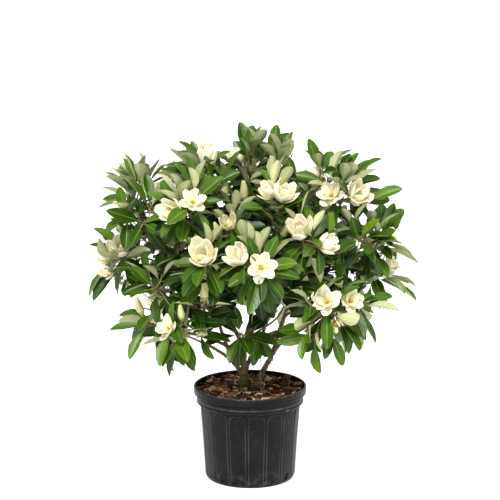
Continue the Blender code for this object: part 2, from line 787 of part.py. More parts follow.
def fuse(mass, base):
    """Joins twigs, leaves and flowers to the main shoot by one union on a collection."""
    others = bpy.data.collections.new(mass.name + "_growth")
    bpy.context.scene.collection.children.link(others)
    for limb, _, _, _ in mass.shoots[1:]:
        add_object("twig", limb.mesh, others)
    for mesh, matrix in mass.pieces:
        grown = mesh.copy()
        grown.transform(matrix)
        add_object("growth", grown, others)
    modifier = base.modifiers.new("fused", "BOOLEAN")
    modifier.operation = "UNION"
    modifier.operand_type = "COLLECTION"
    modifier.collection = others
    plain = base.data.copy()
    for solver in ("EXACT", "MANIFOLD"):
        modifier.solver = solver
        bpy.context.view_layer.update()
        mesh = bpy.data.meshes.new_from_object(base.evaluated_get(bpy.context.evaluated_depsgraph_get()))
        keep_main_shell(mesh)
        if is_closed(mesh) and len(mesh.polygons) > len(plain.polygons) * 2:
            break
    base.modifiers.clear()
    base.data = mesh
    for obj in list(others.objects):
        bpy.data.objects.remove(obj)
    bpy.data.collections.remove(others)


def limb_object(name, limb, sides, parts, parent=None):
    """A limb as an object; where it leaves a parent limb, its foot is cut a gap clear of the parent."""
    obj = add_object(name, tube_mesh(name, limb.points, limb.radii, sides), parts)
    if parent is not None:
        wider = tube_mesh("parent", parent.points, [radius + GAP for radius in parent.radii], parent.sides)
        bm = bmesh.new()
        bm.from_mesh(wider)
        cut(obj, bm, "parent_limb")
        keep_main_shell(obj.data)
    return obj


def back_masses(limbs):
    """Masses on the far side, spread evenly round each tier and hung on the nearest stem."""
    masses = {}
    feet = {"stem_back_left": [0.0], "stem_back_right": [0.0]}
    rng = random.Random("far side")
    for tier, (height, across, back, count) in enumerate(BACK_TIERS):
        for k in range(count):
            number = len(masses) + 1
            turn = BACK_SPAN[0] + (BACK_SPAN[1] - BACK_SPAN[0]) * (k + 0.5) / count + rng.uniform(-0.08, 0.08)
            tip = Vector((across * math.cos(turn), back * math.sin(turn), height + rng.uniform(-0.02, 0.02)))
            nearest = "stem_back_right" if tip.x > 0 else "stem_back_left"
            limb = limbs[nearest]
            foot = FIRST_FOOT
            while foot < limb.length - FIRST_FOOT and (
                limb.at(foot)[0].z < tip.z - BELOW_TIP
                or min(abs(foot - used) for used in feet[nearest]) < FOOT_APART
            ):
                foot += 0.004
            feet[nearest].append(foot)
            facing = (math.degrees(turn) + rng.uniform(-20, 20), 30 + 18 * tier)
            bough = f"bough_back_{number:02d}" if (tip - limb.at(foot)[0]).length > BACK_BOUGH_FROM else ""
            stage = BACK_STAGES[number % len(BACK_STAGES)]
            shoot = (tuple(tip / MM), facing, stage, BACK_WIDTHS[stage], BACK_LEAVES, 0)
            masses[f"foliage_back_{number:02d}"] = (nearest, foot / limb.length, bough, (shoot,))
    for number, (stem, offset, stage) in enumerate(BACK_TOPS, 1):
        tip = limbs[stem].points[-1] / MM + Vector(offset)
        shoot = (tuple(tip), (90, 74), stage, BACK_WIDTHS[stage], BACK_LEAVES, 0)
        masses[f"foliage_back_top_{number}"] = (stem, 1.0, "", (shoot,))
    return masses


def split_limb(limb, bough_radii):
    """Parts a limb into a bough and the main shoot of its mass, which meet face to face a gap apart."""
    run = limb.length - LEADER_LENGTH
    point, way, _ = limb.at(run)
    lower = [p for p, at in zip(limb.points, limb.runs) if at < run - 2 * STRAIGHT_FOOT]
    lower += [point - way * STRAIGHT_FOOT, point]
    upper = [point + way * GAP, point + way * STRAIGHT_FOOT]
    upper += [p for p, at in zip(limb.points, limb.runs) if at > run + 2.4 * STRAIGHT_FOOT]
    return Limb(lower, bough_radii), Limb(upper, LEADER_RADII)


def start_mass(space, limbs, parts, name, row, templates):
    """Grows a mass's bough, if it needs one, and its main shoot, and returns the mass and its base object."""
    parent, share, bough, shoots = row
    centre, facing, stage, width, leaves, spiral = shoots[0]
    mass = Mass(name)
    tip, way_in = real(centre), bearing(*facing)
    if stage:
        tip, matrix = flower_seat(space, name, centre, way_in, stage, width, templates)
        mass.pieces.append((templates[stage], matrix))
        mass.fill(space, templates[stage], matrix)
    parent_limb = limbs[parent]
    foot, parent_way, parent_radius = parent_limb.at(parent_limb.length * share)
    if share >= 1:
        start = foot + parent_way * STRAIGHT_FOOT
        limb = free_bend(space, name, parent, start, 0.0, parent_way, tip, way_in, LEADER_RADII, 4)
        limb = Limb([foot + parent_way * GAP] + limb.points, LEADER_RADII)
    else:
        way_out = (parent_way * 0.5 + (tip - foot).normalized()).normalized()
        radii = (BOUGH_RADII[0], LEADER_RADII[1]) if bough else LEADER_RADII
        steps = 7 if bough else 5
        limb = free_bend(space, name, parent, foot, parent_radius, way_out, tip, way_in, radii, steps)
    if bough:
        lower, limb = split_limb(limb, (min(BOUGH_RADII[0], parent_radius * 0.8), BOUGH_RADII[1]))
        lower.sides = 6
        limbs[bough] = lower
        obj = limb_object(bough, lower, lower.sides, parts, parent_limb)
        obj.data.materials.append(finish("bark"))
        space.add(bough, *shell_of(obj.data, Matrix.Identity(4)))
    base = limb_object(name, limb, 3, parts, None if bough or share >= 1 else parent_limb)
    mass.shoots.append((Limb(limb.points, LEADER_RADII), leaves, spiral, bool(stage)))
    mass.fill(space, base.data)
    return mass, base


def main():
    clear_scene()
    parts = bpy.data.collections.new("sweetbay_magnolia_in_pot")
    bpy.context.scene.collection.children.link(parts)
    make_pot(parts).data.materials.append(finish("pot_plastic"))
    make_soil(parts).data.materials.append(finish("bark_mulch"))

    space = Space()
    limbs = {}
    for name, (parent, route, radii) in STEMS.items():
        points = [real(spot) + Vector((0, 0, STEM_FOOT)) for spot in route]
        if parent:
            points.insert(0, limbs[parent[0]].at(limbs[parent[0]].length * parent[1])[0])
        limb = Limb(smooth_route(points, 1), radii, STEM_TAPER)
        limb.sides = 8 if name == "trunk" else 6
        limbs[name] = limb if parent else flared(limb)
        obj = limb_object(name, limb, limb.sides, parts, limbs[parent[0]] if parent else None)
        obj.data.materials.append(finish("bark"))
        space.add(name, *shell_of(obj.data, Matrix.Identity(4)))

    templates = {stage: flower_template(stage) for stage in FLOWER_SHAPES}
    leaf = leaf_template(LEAF_THICKNESS_SHARE)
    clear_leaf = leaf_template(CLEAR_THICKNESS_SHARE)
    rows = FRONT_MASSES | back_masses(limbs)
    grown = {name: start_mass(space, limbs, parts, name, row, templates) for name, row in rows.items()}
    for name, (mass, _) in grown.items():
        for row in rows[name][3][1:]:
            grow_shoot(space, mass, row, templates)
    for mass, base in grown.values():
        grow_leaves(space, mass, leaf, clear_leaf)
        fuse(mass, base)
        base.data.materials.append(finish("foliage"))
    bpy.data.objects.remove(triangle_profile())


main()
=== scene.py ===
import itertools
import math
import random

import bmesh
import bpy
from mathutils import Matrix, Vector, noise
from mathutils.bvhtree import BVHTree


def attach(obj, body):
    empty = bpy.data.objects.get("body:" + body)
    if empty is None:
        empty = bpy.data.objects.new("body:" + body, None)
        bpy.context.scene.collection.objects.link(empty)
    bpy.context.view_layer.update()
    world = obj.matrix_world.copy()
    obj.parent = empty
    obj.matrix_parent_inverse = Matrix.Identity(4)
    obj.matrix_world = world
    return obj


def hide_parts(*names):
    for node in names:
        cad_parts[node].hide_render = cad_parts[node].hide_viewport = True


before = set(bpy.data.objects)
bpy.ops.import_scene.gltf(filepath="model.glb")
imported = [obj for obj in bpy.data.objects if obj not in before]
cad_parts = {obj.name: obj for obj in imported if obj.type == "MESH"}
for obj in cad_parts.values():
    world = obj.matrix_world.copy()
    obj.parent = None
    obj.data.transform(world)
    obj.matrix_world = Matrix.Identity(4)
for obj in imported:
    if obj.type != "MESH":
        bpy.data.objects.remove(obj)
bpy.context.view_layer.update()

# Camera: a long lens four and a half metres in front of the plant, higher than its top and tipped down, so
# that the front of the pot's rim hides only the nearest chips of the mulch.
camera_lens = bpy.data.cameras.new("camera")
camera_lens.lens = 129.6
camera_lens.sensor_width = 36.0
camera = bpy.data.objects.new("camera", camera_lens)
camera.location = (0.0, -4.40655, 1.49981)
camera.rotation_euler = (math.radians(78.303), 0.0, 0.0)
bpy.context.scene.collection.objects.link(camera)
bpy.context.scene.camera = camera


# Pot: a blow-moulded nursery pot of black polyethylene with sixteen arched panels pressed into its side, a
# beaded band, a rolled lip and four drain holes just above the foot. It stands on its flat underside.
POT_PANELS = 16
POT_STEPS = POT_PANELS * 48
PANEL_START = math.radians(-93.7)
PANEL_DEPTH = 0.0021
PANEL_TOP = 0.1900
PANEL_CORNER = 0.0150
PANEL_SEAM = 0.0052
PANEL_FLATNESS = 0.40
EDGE_SOFTNESS = 0.0008
# Inset and width of the painted highlight along each panel's rounded edge
HIGHLIGHT_INSET = 0.0011
HIGHLIGHT_WIDTH = 0.0010
RELIEF_FADE = (0.005, 0.013)
BELOW_SIDE = 0.004
INSIDE_WALL = 0.0022
BODY_SIDE = ((0.1152, 0.012), (0.1205, 0.100), (0.1262, 0.174), (0.1275, 0.192), (0.1275, 0.1958))
# Heights of the mesh's rows up the side, close together where the panels are arched
BODY_ROWS = [0.012, 0.018, 0.026, 0.040, 0.060, 0.085, 0.110, 0.135, 0.152, 0.164]
BODY_ROWS += [0.1700 + 0.0012 * k for k in range(22)]
FOOT_SIDE = ((0, 0), (0.1070, 0), (0.1096, 0.0004), (0.1110, 0.0015), (0.1132, 0.0058), (0.1146, 0.0096))
BAND_AND_LIP = (
    (0.1290, 0.1962), (0.1336, 0.1964), (0.1350, 0.1972), (0.1357, 0.1984), (0.1357, 0.1998),
    (0.1350, 0.2010), (0.1346, 0.2036), (0.1347, 0.2060), (0.1353, 0.2066), (0.1353, 0.2076),
    (0.1347, 0.2082), (0.1348, 0.2120), (0.1354, 0.2126), (0.1354, 0.2138), (0.1348, 0.2144),
    (0.1348, 0.2178), (0.1354, 0.2190), (0.1398, 0.2193), (0.1414, 0.2199), (0.1422, 0.2212),
    (0.1423, 0.2236), (0.1417, 0.2262), (0.1417, 0.2290), (0.1423, 0.2306), (0.1427, 0.2330),
    (0.1427, 0.2362), (0.1420, 0.2380), (0.1406, 0.2389), (0.1390, 0.2390), (0.1380, 0.2380),
)
POT_INSIDE = ((0.1377, 0.2350), (0.1380, 0.2250), (0.1327, 0.2180), (0.1317, 0.2000), (0.1242, 0.1880),
              (0.1130, 0.0160), (0.1082, 0.0040), (0.0, 0.0040))
DRAIN_START = math.radians(-37.4)
DRAIN_HEIGHT = 0.0180
DRAIN_RADIUS = 0.0083
DRAIN_OVAL = 1.12
DRILL_OUT = 0.115
DRILL_LENGTH = 0.016


def turned(profile, steps, start=0.0):
    """A closed bmesh that turns a (radius, height) profile about Z."""
    bm = bmesh.new()
    way = (math.cos(start), math.sin(start))
    verts = [bm.verts.new((radius * way[0], radius * way[1], height)) for radius, height in profile]
    edges = [bm.edges.new(pair) for pair in zip(verts, verts[1:])]
    bmesh.ops.spin(
        bm, geom=verts + edges, cent=(0, 0, 0), axis=(0, 0, 1), angle=math.tau, steps=steps, use_merge=True
    )
    bmesh.ops.remove_doubles(bm, verts=bm.verts, dist=1e-6)
    bmesh.ops.recalc_face_normals(bm, faces=bm.faces)
    return bm


def smooth_step(low, high, value):
    """Goes softly from 0 to 1 while a value goes from low to high."""
    share = min(max((value - low) / (high - low), 0.0), 1.0)
    return share * share * (3 - 2 * share)


def mesh_of(name, bm):
    """Turns a bmesh into a mesh and frees it."""
    mesh = bpy.data.meshes.new(name)
    bm.to_mesh(mesh)
    bm.free()
    return mesh


def made(name, bm, *materials, smooth=True):
    """Turns a bmesh into an object at the origin, with its materials."""
    mesh = mesh_of(name, bm)
    for material in materials:
        mesh.materials.append(material)
    if smooth:
        mesh.shade_smooth()
    piece = bpy.data.objects.new(name, mesh)
    bpy.context.scene.collection.objects.link(piece)
    return piece


def add_cone(bm, segments, radii, depth, matrix):
    """Adds a closed cone along Z, with its radius at the foot and at the top."""
    bmesh.ops.create_cone(
        bm, cap_ends=True, segments=segments, radius1=radii[0], radius2=radii[1], depth=depth, matrix=matrix
    )


def body_radius(height):
    """The outer radius of the pot's side at a height."""
    for (low_radius, low), (high_radius, high) in zip(BODY_SIDE, BODY_SIDE[1:]):
        if height <= high:
            return low_radius + (high_radius - low_radius) * (height - low) / (high - low)
    return BODY_SIDE[-1][0]


def crowd_to_seams(bm):
    """Slides the columns of the turned mesh round towards the seams, where the relief is fine."""
    pitch = math.tau / POT_PANELS
    for vert in bm.verts:
        radius = math.hypot(vert.co.x, vert.co.y)
        if radius > 1e-6:
            turn = math.atan2(vert.co.y, vert.co.x) - PANEL_START
            panel = math.floor(turn / pitch + 1e-6)
            share = 2 * (turn / pitch - panel) - 1
            turn = PANEL_START + pitch * (panel + 0.5 + 0.5 * math.sin(math.pi / 2 * share))
            vert.co.x, vert.co.y = radius * math.cos(turn), radius * math.sin(turn)


def press_panels(bm):
    """Draws the seams between the panels in, flattens each panel a little and marks its edge for a painted
    highlight.
    """
    pitch = math.tau / POT_PANELS
    arris = bm.verts.layers.float.new("arris")
    for vert in bm.verts:
        radius = math.hypot(vert.co.x, vert.co.y)
        height = vert.co.z
        is_side = BODY_SIDE[0][1] - BELOW_SIDE < height < BODY_SIDE[-1][1]
        if not is_side or radius < body_radius(height) - INSIDE_WALL:
            continue
        turn = (math.atan2(vert.co.y, vert.co.x) - PANEL_START) % pitch - pitch / 2
        half_width = radius * pitch / 2 - PANEL_SEAM / 2
        aside = max(abs(turn) * radius - half_width + PANEL_CORNER, 0.0)
        above = max(height - PANEL_TOP + PANEL_CORNER, 0.0)
        past_edge = math.hypot(aside, above) - PANEL_CORNER
        pressed = smooth_step(-EDGE_SOFTNESS, EDGE_SOFTNESS, past_edge)
        flattened = (1 - math.cos(pitch / 2)) - (1 - math.cos(turn)) if past_edge < 0 else 0.0
        fade = smooth_step(*RELIEF_FADE, height)
        # The arris mark is a painted highlight where the panel's rounded edge would catch the light
        vert[arris] = fade * math.exp(-(((past_edge + HIGHLIGHT_INSET) / HIGHLIGHT_WIDTH) ** 2))
        shrink = 1 - fade * (PANEL_DEPTH * pressed / radius + PANEL_FLATNESS * flattened * (1 - pressed))
        vert.co.x *= shrink
        vert.co.y *= shrink


def drill_drains(pot):
    """Cuts the four drain holes with one difference."""
    holes = bmesh.new()
    for quarter in range(4):
        turn = DRAIN_START + quarter * math.tau / 4
        place = (
            Matrix.Rotation(turn, 4, "Z")
            @ Matrix.Translation((DRILL_OUT, 0, DRAIN_HEIGHT))
            @ Matrix.Rotation(math.pi / 2, 4, "Y")
            @ Matrix.Diagonal((DRAIN_OVAL, 1.0, 1.0, 1.0))
        )
        add_cone(holes, 32, (DRAIN_RADIUS, DRAIN_RADIUS), DRILL_LENGTH, place)
    drill = made("drain_drill", holes)
    bore = pot.modifiers.new("drains", "BOOLEAN")
    bore.operation = "DIFFERENCE"
    bore.object = drill
    graph = bpy.context.evaluated_depsgraph_get()
    drilled = bpy.data.meshes.new_from_object(pot.evaluated_get(graph))
    pot.modifiers.clear()
    pot.data = drilled
    bpy.data.objects.remove(drill)


class Signal:
    """A socket in a material's nodes. Sums, differences and products of signals add Math nodes."""

    def __init__(self, tree, socket):
        self.tree = tree
        self.socket = socket

    def add(self, kind, settings, values, out=0):
        """A node of any kind: its settings are set first, then the values or links of its sockets."""
        node = self.tree.nodes.new(kind)
        for name, value in settings.items():
            if name == "stops":
                while len(node.color_ramp.elements) < len(value):
                    node.color_ramp.elements.new(1.0)
                for element, (place, colour) in zip(node.color_ramp.elements, value):
                    element.position = place
                    element.color = (*colour, 1.0)
            else:
                setattr(node, name, value)
        for name, value in values.items():
            if isinstance(value, Signal):
                self.tree.links.new(value.socket, node.inputs[name])
            else:
                node.inputs[name].default_value = value
        return Signal(self.tree, node.outputs[out])

    def math(self, operation, first, second):
        return self.add("ShaderNodeMath", {"operation": operation}, {0: first, 1: second})

    def __add__(self, other):
        return self.math("ADD", self, other)

    def __sub__(self, other):
        return self.math("SUBTRACT", self, other)

    def __mul__(self, other):
        return self.math("MULTIPLY", self, other)

    def __rsub__(self, other):
        return self.math("SUBTRACT", other, self)

    __radd__ = __add__
    __rmul__ = __mul__


def new_finish(name, **constants):
    """A material, its shader, and the signal of a point's place on the object."""
    material = bpy.data.materials.new(name)
    material.use_nodes = True
    tree = material.node_tree
    shader = tree.nodes["Principled BSDF"]
    for socket, value in constants.items():
        shader.inputs[socket.replace("_", " ")].default_value = value
    place = Signal(tree, None).add("ShaderNodeTexCoord", {}, {}, "Object")
    return material, shader, place


def feed(shader, socket, signal):
    """Links a signal to a socket of the shader."""
    signal.tree.links.new(signal.socket, shader.inputs[socket])


def grain(place, scale, detail=3.0, roughness=0.55):
    """Cloudy noise from 0 to 1 over the object."""
    values = {"Vector": place, "Scale": scale, "Detail": detail, "Roughness": roughness}
    return place.add("ShaderNodeTexNoise", {}, values, "Fac")


def between(signal, low, high, start=0.0, end=1.0):
    """A soft step from start to end while the signal goes from low to high."""
    values = {"Value": signal, "From Min": low, "From Max": high, "To Min": start, "To Max": end}
    return signal.add("ShaderNodeMapRange", {"interpolation_type": "SMOOTHSTEP"}, values)


def mixed(mask, first, second):
    """Goes from the first colour to the second by a mask."""
    colours = {6: first if isinstance(first, Signal) else (*first, 1.0)}
    colours[7] = second if isinstance(second, Signal) else (*second, 1.0)
    return mask.add("ShaderNodeMix", {"data_type": "RGBA"}, {0: mask, **colours}, 2)


def rough_surface(shader, height, distance, strength=1.0):
    """Feeds a height, in shares of the distance, to the shader's normal."""
    values = {"Height": height, "Distance": distance, "Strength": strength}
    feed(shader, "Normal", height.add("ShaderNodeBump", {}, values))


def pot_plastic():
    """Black, slightly glossy plastic: clouded, scuffed, dusty at the foot, with painted highlights on its
    edges and ridges; on the bead and foot edge they are partly rubbed wear.
    """
    material, shader, place = new_finish("pot_plastic_worn", Specular_IOR_Level=0.22)
    height = place.add("ShaderNodeSeparateXYZ", {}, {"Vector": place}, "Z")
    smudge = grain(place, 14.0, 5.0)
    cloud = grain(place, 70.0, 4.0, 0.6)
    streak_place = place.add("ShaderNodeMapping", {}, {"Vector": place, "Scale": (1.0, 1.0, 0.12)})
    streak = grain(streak_place, 160.0, 2.0)
    colour = mixed(between(smudge, 0.38, 0.66), (0.0050, 0.0053, 0.0058), (0.0100, 0.0103, 0.0112))
    colour = mixed(between(cloud, 0.52, 0.80, 0.0, 0.5), colour, (0.032, 0.032, 0.033))
    # Painted highlight along the panels' edges
    panel_edge_highlight = place.add("ShaderNodeAttribute", {"attribute_name": "arris"}, {}, "Fac")
    colour = mixed(panel_edge_highlight * between(smudge, 0.30, 0.62, 0.12, 0.75), colour, (0.078, 0.078, 0.082))
    foot_dust = between(height, 0.060, 0.004) * between(grain(place, 45.0, 6.0), 0.42, 0.68)
    colour = mixed(foot_dust * 0.42, colour, (0.110, 0.092, 0.074))
    # The bead under the band and the foot's edge: pale patches, partly rubbed wear and partly painted
    # highlight
    bead = between(height, 0.1962, 0.1976) * between(height, 0.2016, 0.2000)
    # Painted highlights along the band's ridges and the lip's top roll
    band_rib_highlight = between(height, 0.2050, 0.2060) * between(height, 0.2092, 0.2082)
    lip_and_rib_highlight = between(height, 0.2366, 0.2380) + band_rib_highlight
    foot_edge = between(height, 0.0062, 0.0014) * between(height, 0.0001, 0.0006)
    wear_and_highlight_patches = between(grain(place, 46.0, 3.0, 0.7), 0.60, 0.74)
    # Painted highlight on the lip's top roll and the band's ridges
    colour = mixed(lip_and_rib_highlight * between(cloud, 0.35, 0.65, 0.15, 0.7), colour, (0.110, 0.110, 0.115))
    # Pale patches on the bead and the foot's edge: partly rubbed wear, partly painted highlight
    colour = mixed((bead + foot_edge) * wear_and_highlight_patches * 0.6, colour, (0.30, 0.29, 0.28))
    scuff_place = place.add(
        "ShaderNodeMapping", {}, {"Vector": place, "Rotation": (0.5, 0.7, 0.0), "Scale": (1.0, 1.0, 0.16)}
    )
    scuff = between(grain(scuff_place, 130.0, 2.0), 0.735, 0.79)
    colour = mixed(scuff * 0.5, colour, (0.19, 0.19, 0.19))
    feed(shader, "Base Color", colour)
    feed(shader, "Roughness", 0.28 + 0.12 * smudge + 0.12 * streak + foot_dust * 0.25)
    rough_surface(shader, cloud * 0.6 + streak * 0.25 + grain(place, 900.0, 2.0) * 0.15, 0.0005)
    return material


side = tuple((body_radius(height), height) for height in BODY_ROWS)
pot_bm = turned(FOOT_SIDE + side + BAND_AND_LIP + POT_INSIDE, POT_STEPS, PANEL_START)
crowd_to_seams(pot_bm)
pot = made("pot_ribbed", pot_bm)
drill_drains(pot)
pot_bm = bmesh.new()
pot_bm.from_mesh(pot.data)
press_panels(pot_bm)
pot_bm.to_mesh(pot.data)
pot_bm.free()
pot.data.materials.clear()
pot.data.materials.append(pot_plastic())
pot.data.shade_smooth()
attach(pot, "root")
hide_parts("pot")


# Mulch: the pot is filled to just under its lip with a dark potting mix, topped with shredded pine bark. The
# chips lie loose on each other, mostly red-brown, with a few split ones of paler wood and some thin twigs.
MIX_LEVEL = 0.2262
MIX_RADIUS = 0.1368
MIX_STEPS = 120
MIX_RINGS = 30
MIX_SIDE = ((0.0, 0.0043), (0.1079, 0.0043), (0.1127, 0.0160), (0.1239, 0.1880), (0.1314, 0.2000),
            (0.1324, 0.2178), (MIX_RADIUS, 0.2240))
CHIP_COUNT = 980
CHIP_LENGTHS = (0.006, 0.009, 0.012, 0.018, 0.028)
# Width and thickness of each kind of chip as shares of its length
CHIP_KINDS = ((0.34, 0.13), (0.22, 0.10), (0.50, 0.20))
# Name, colour and share of the chips
CHIP_COLOURS = (
    ("chip_red_brown", (0.145, 0.056, 0.030), 0.28),
    ("chip_dark", (0.034, 0.018, 0.012), 0.27),
    ("chip_brown", (0.235, 0.130, 0.075), 0.19),
    ("chip_orange", (0.480, 0.225, 0.100), 0.060),
    ("chip_pale", (0.580, 0.400, 0.245), 0.110),
    ("chip_humus", (0.014, 0.011, 0.009), 0.09),
)
TWIG_BITS = 26
TWIG_BIT_REACH = 0.118
# Thicker twigs that lie on the chips, and bits that stand up: place, then turn in degrees, and length
LYING_TWIGS = ((0.044, -0.058, -56, 0.066), (0.004, -0.052, 24, 0.050), (-0.062, -0.046, 70, 0.046))
STANDING_BITS = (
    (-0.108, 0.058, 0.034), (-0.056, 0.108, 0.032), (0.104, 0.066, 0.034), (0.020, 0.030, 0.030),
    (0.034, -0.016, 0.022),
)
MOSS_BLADES = 150
LYING_RADII = (0.0013, 0.0008)
STANDING_RADII = (0.0011, 0.0006)
MOSS_RADII = (0.0014, 0.0002)


def mix_height(x, y):
    """The lumpy top of the mulch, a little higher round the trunk."""
    reach = math.hypot(x, y) / MIX_RADIUS
    lumps = noise.noise(Vector((x, y, 0.3)) * 42) * 0.0030 + noise.noise(Vector((x, y, 7.1)) * 110) * 0.0014
    return MIX_LEVEL + 0.0035 * (1 - reach * reach) + lumps


def bark_mulch(name, colour):
    """Dry bark in patches of a darker tone, with pale fibres."""
    material, shader, place = new_finish(name, Specular_IOR_Level=0.25)
    patch = grain(place, 170.0, 4.0, 0.6)
    fibre_place = place.add("ShaderNodeMapping", {}, {"Vector": place, "Scale": (1.0, 0.28, 1.0)})
    fibre = grain(fibre_place, 620.0, 3.0)
    darker = tuple(value * 0.50 for value in colour)
    paler = tuple(min(value * 1.7 + 0.012, 0.8) for value in colour)
    tone = mixed(between(patch, 0.34, 0.66), darker, colour)
    feed(shader, "Base Color", mixed(between(fibre, 0.52, 0.76, 0.0, 0.6), tone, paler))
    feed(shader, "Roughness", 0.74 + fibre * 0.22)
    rough_surface(shader, patch * 0.5 + fibre * 0.5, 0.0009)
    return material


def chip_shape(kind, rng):
    """One split chip of unit length along X: a sliver, bent and with torn ends."""
    bm = bmesh.new()
    bmesh.ops.create_cube(bm, size=1.0)
    long_edges = [edge for edge in bm.edges if abs(edge.verts[0].co.x - edge.verts[1].co.x) > 0.5]
    bmesh.ops.subdivide_edges(bm, edges=long_edges, cuts=2)
    width, thickness = CHIP_KINDS[kind]
    for vert in bm.verts:
        vert.co.y *= width
        vert.co.z *= thickness
        vert.co.z -= 0.22 * vert.co.x**2
        if abs(vert.co.x) > 0.4:
            vert.co.y *= rng.uniform(0.35, 1.0)
            vert.co.x *= rng.uniform(0.80, 1.1)
        vert.co += Vector((0, rng.uniform(-0.04, 0.04), rng.uniform(-0.025, 0.025)))
    return mesh_of("chip", bm)


def add_copy(bm, mesh, matrix, material):
    """Adds a moved copy of a mesh to a bmesh; material is added to its faces' material numbers."""
    copy = mesh.copy()
    copy.transform(matrix)
    first = len(bm.faces)
    bm.from_mesh(copy)
    bpy.data.meshes.remove(copy)
    bm.faces.ensure_lookup_table()
    for face in bm.faces[first:]:
        face.material_index += material


def polar(reach, turn):
    """The place at a distance from the pot's middle, in a direction from +X."""
    return reach * math.cos(turn), reach * math.sin(turn)


def on_mulch(x, y, lift, turns, size=(1.0, 1.0, 1.0)):
    """A place over the mulch: so far above it, turned about one axis after another, and scaled."""
    place = Matrix.Translation((x, y, mix_height(x, y) + lift))
    for axis, turn in turns:
        place = place @ Matrix.Rotation(turn, 4, axis)
    return place @ Matrix.Diagonal((*size, 1.0))


mix_top = tuple((MIX_RADIUS * (1 - k / MIX_RINGS), MIX_LEVEL) for k in range(1, MIX_RINGS))
mix_bm = turned(MIX_SIDE + mix_top + ((0.0, MIX_LEVEL),), MIX_STEPS)
for vert in mix_bm.verts:
    if vert.co.z > MIX_LEVEL - 0.0001:
        vert.co.z = mix_height(vert.co.x, vert.co.y)
potting_mix = made("potting_mix", mix_bm, bark_mulch("mix_dark", (0.040, 0.021, 0.013)))
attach(potting_mix, "root")
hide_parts("soil")

rng = random.Random("mulch")
chip_shapes = [chip_shape(k % len(CHIP_KINDS), rng) for k in range(9)]
chips_bm = bmesh.new()
for number in range(CHIP_COUNT):
    reach = MIX_RADIUS * 0.985 * math.sqrt(rng.random())
    turn = rng.uniform(0, math.tau)
    length = rng.choice(CHIP_LENGTHS) * rng.uniform(0.85, 1.25)
    x, y = polar(min(reach, MIX_RADIUS - length * 0.42), turn)
    shade = rng.choices(range(len(CHIP_COLOURS)), [share for _, _, share in CHIP_COLOURS])[0]
    place = on_mulch(
        x, y, rng.uniform(-0.0002, 0.0030),
        (("Z", rng.uniform(0, math.tau)), ("Y", rng.gauss(0, 0.26)), ("X", rng.gauss(0, 0.45))),
        (length, length * rng.uniform(0.7, 1.5), length * rng.uniform(0.8, 1.6)),
    )
    add_copy(chips_bm, rng.choice(chip_shapes), place, shade)
chip_finishes = [bark_mulch(name, colour) for name, colour, _ in CHIP_COLOURS]
chips = made("mulch_chips", chips_bm, *chip_finishes, smooth=False)
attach(chips, "root")

bits_bm = bmesh.new()
for number in range(TWIG_BITS):
    reach = TWIG_BIT_REACH * math.sqrt(rng.random())
    x, y = polar(reach, rng.uniform(0, math.tau))
    length = rng.uniform(0.016, 0.052)
    turns = (("Z", rng.uniform(0, math.tau)), ("Y", math.pi / 2 + rng.gauss(0, 0.12)))
    radius = rng.uniform(0.0005, 0.0010)
    add_cone(bits_bm, 6, (radius, radius * 0.7), length, on_mulch(x, y, 0.0044, turns))
for x, y, turn, length in LYING_TWIGS:
    turns = (("Z", math.radians(turn)), ("Y", math.pi / 2 + 0.05))
    add_cone(bits_bm, 6, LYING_RADII, length, on_mulch(x, y, 0.0062, turns))
for x, y, length in STANDING_BITS:
    turns = (("X", rng.uniform(-0.35, 0.35)), ("Y", rng.uniform(-0.35, 0.35)))
    add_cone(bits_bm, 6, STANDING_RADII, length, on_mulch(x, y, length * 0.42, turns))
twig_bits = made("mulch_twigs", bits_bm, bark_mulch("twig_bit_pale", (0.36, 0.25, 0.15)))
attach(twig_bits, "root")

moss_bm = bmesh.new()
for number in range(MOSS_BLADES):
    reach = 0.012 + 0.032 * rng.random() ** 1.4
    x, y = polar(reach, rng.uniform(0, math.tau))
    length = rng.uniform(0.004, 0.011)
    turns = (("X", rng.gauss(0, 0.6)), ("Y", rng.gauss(0, 0.6)))
    place = on_mulch(x, y + 0.005, length * 0.42, turns, (1.0, 0.45, 1.0))
    add_cone(moss_bm, 4, MOSS_RADII, length, place)
moss = made("moss_tufts", moss_bm, bark_mulch("moss_green", (0.105, 0.135, 0.030)))
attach(moss, "root")


# Stems: the trunk and one stem rise from the mulch, and four more fork from the trunk near its foot. They are
# young wood with thin, warty grey-brown bark, a little moss low down, and a ring of scars at each old bud.
MM = 0.001
GAP = 0.0003
SOIL_LEVEL = 0.227
STEM_TAPER = 2.2
FLARE_HEIGHT = 0.045
FLARE_SHARE = 0.55
WANDER_SEED = 3
WANDER_SCALE = 21
WANDER_SHARE = 0.30
WANDER_FADE = 0.03
# Bud rings: how far up the first one is, how far apart they are, and how much and how far each swells
FIRST_RING = (0.015, 0.03)
RINGS_APART = (0.018, 0.038)
RING_SWELL = (0.05, 0.13)
RING_SPREAD = 0.0028
COLLAR_SWELL = 0.45
COLLAR_SPREAD = 0.007
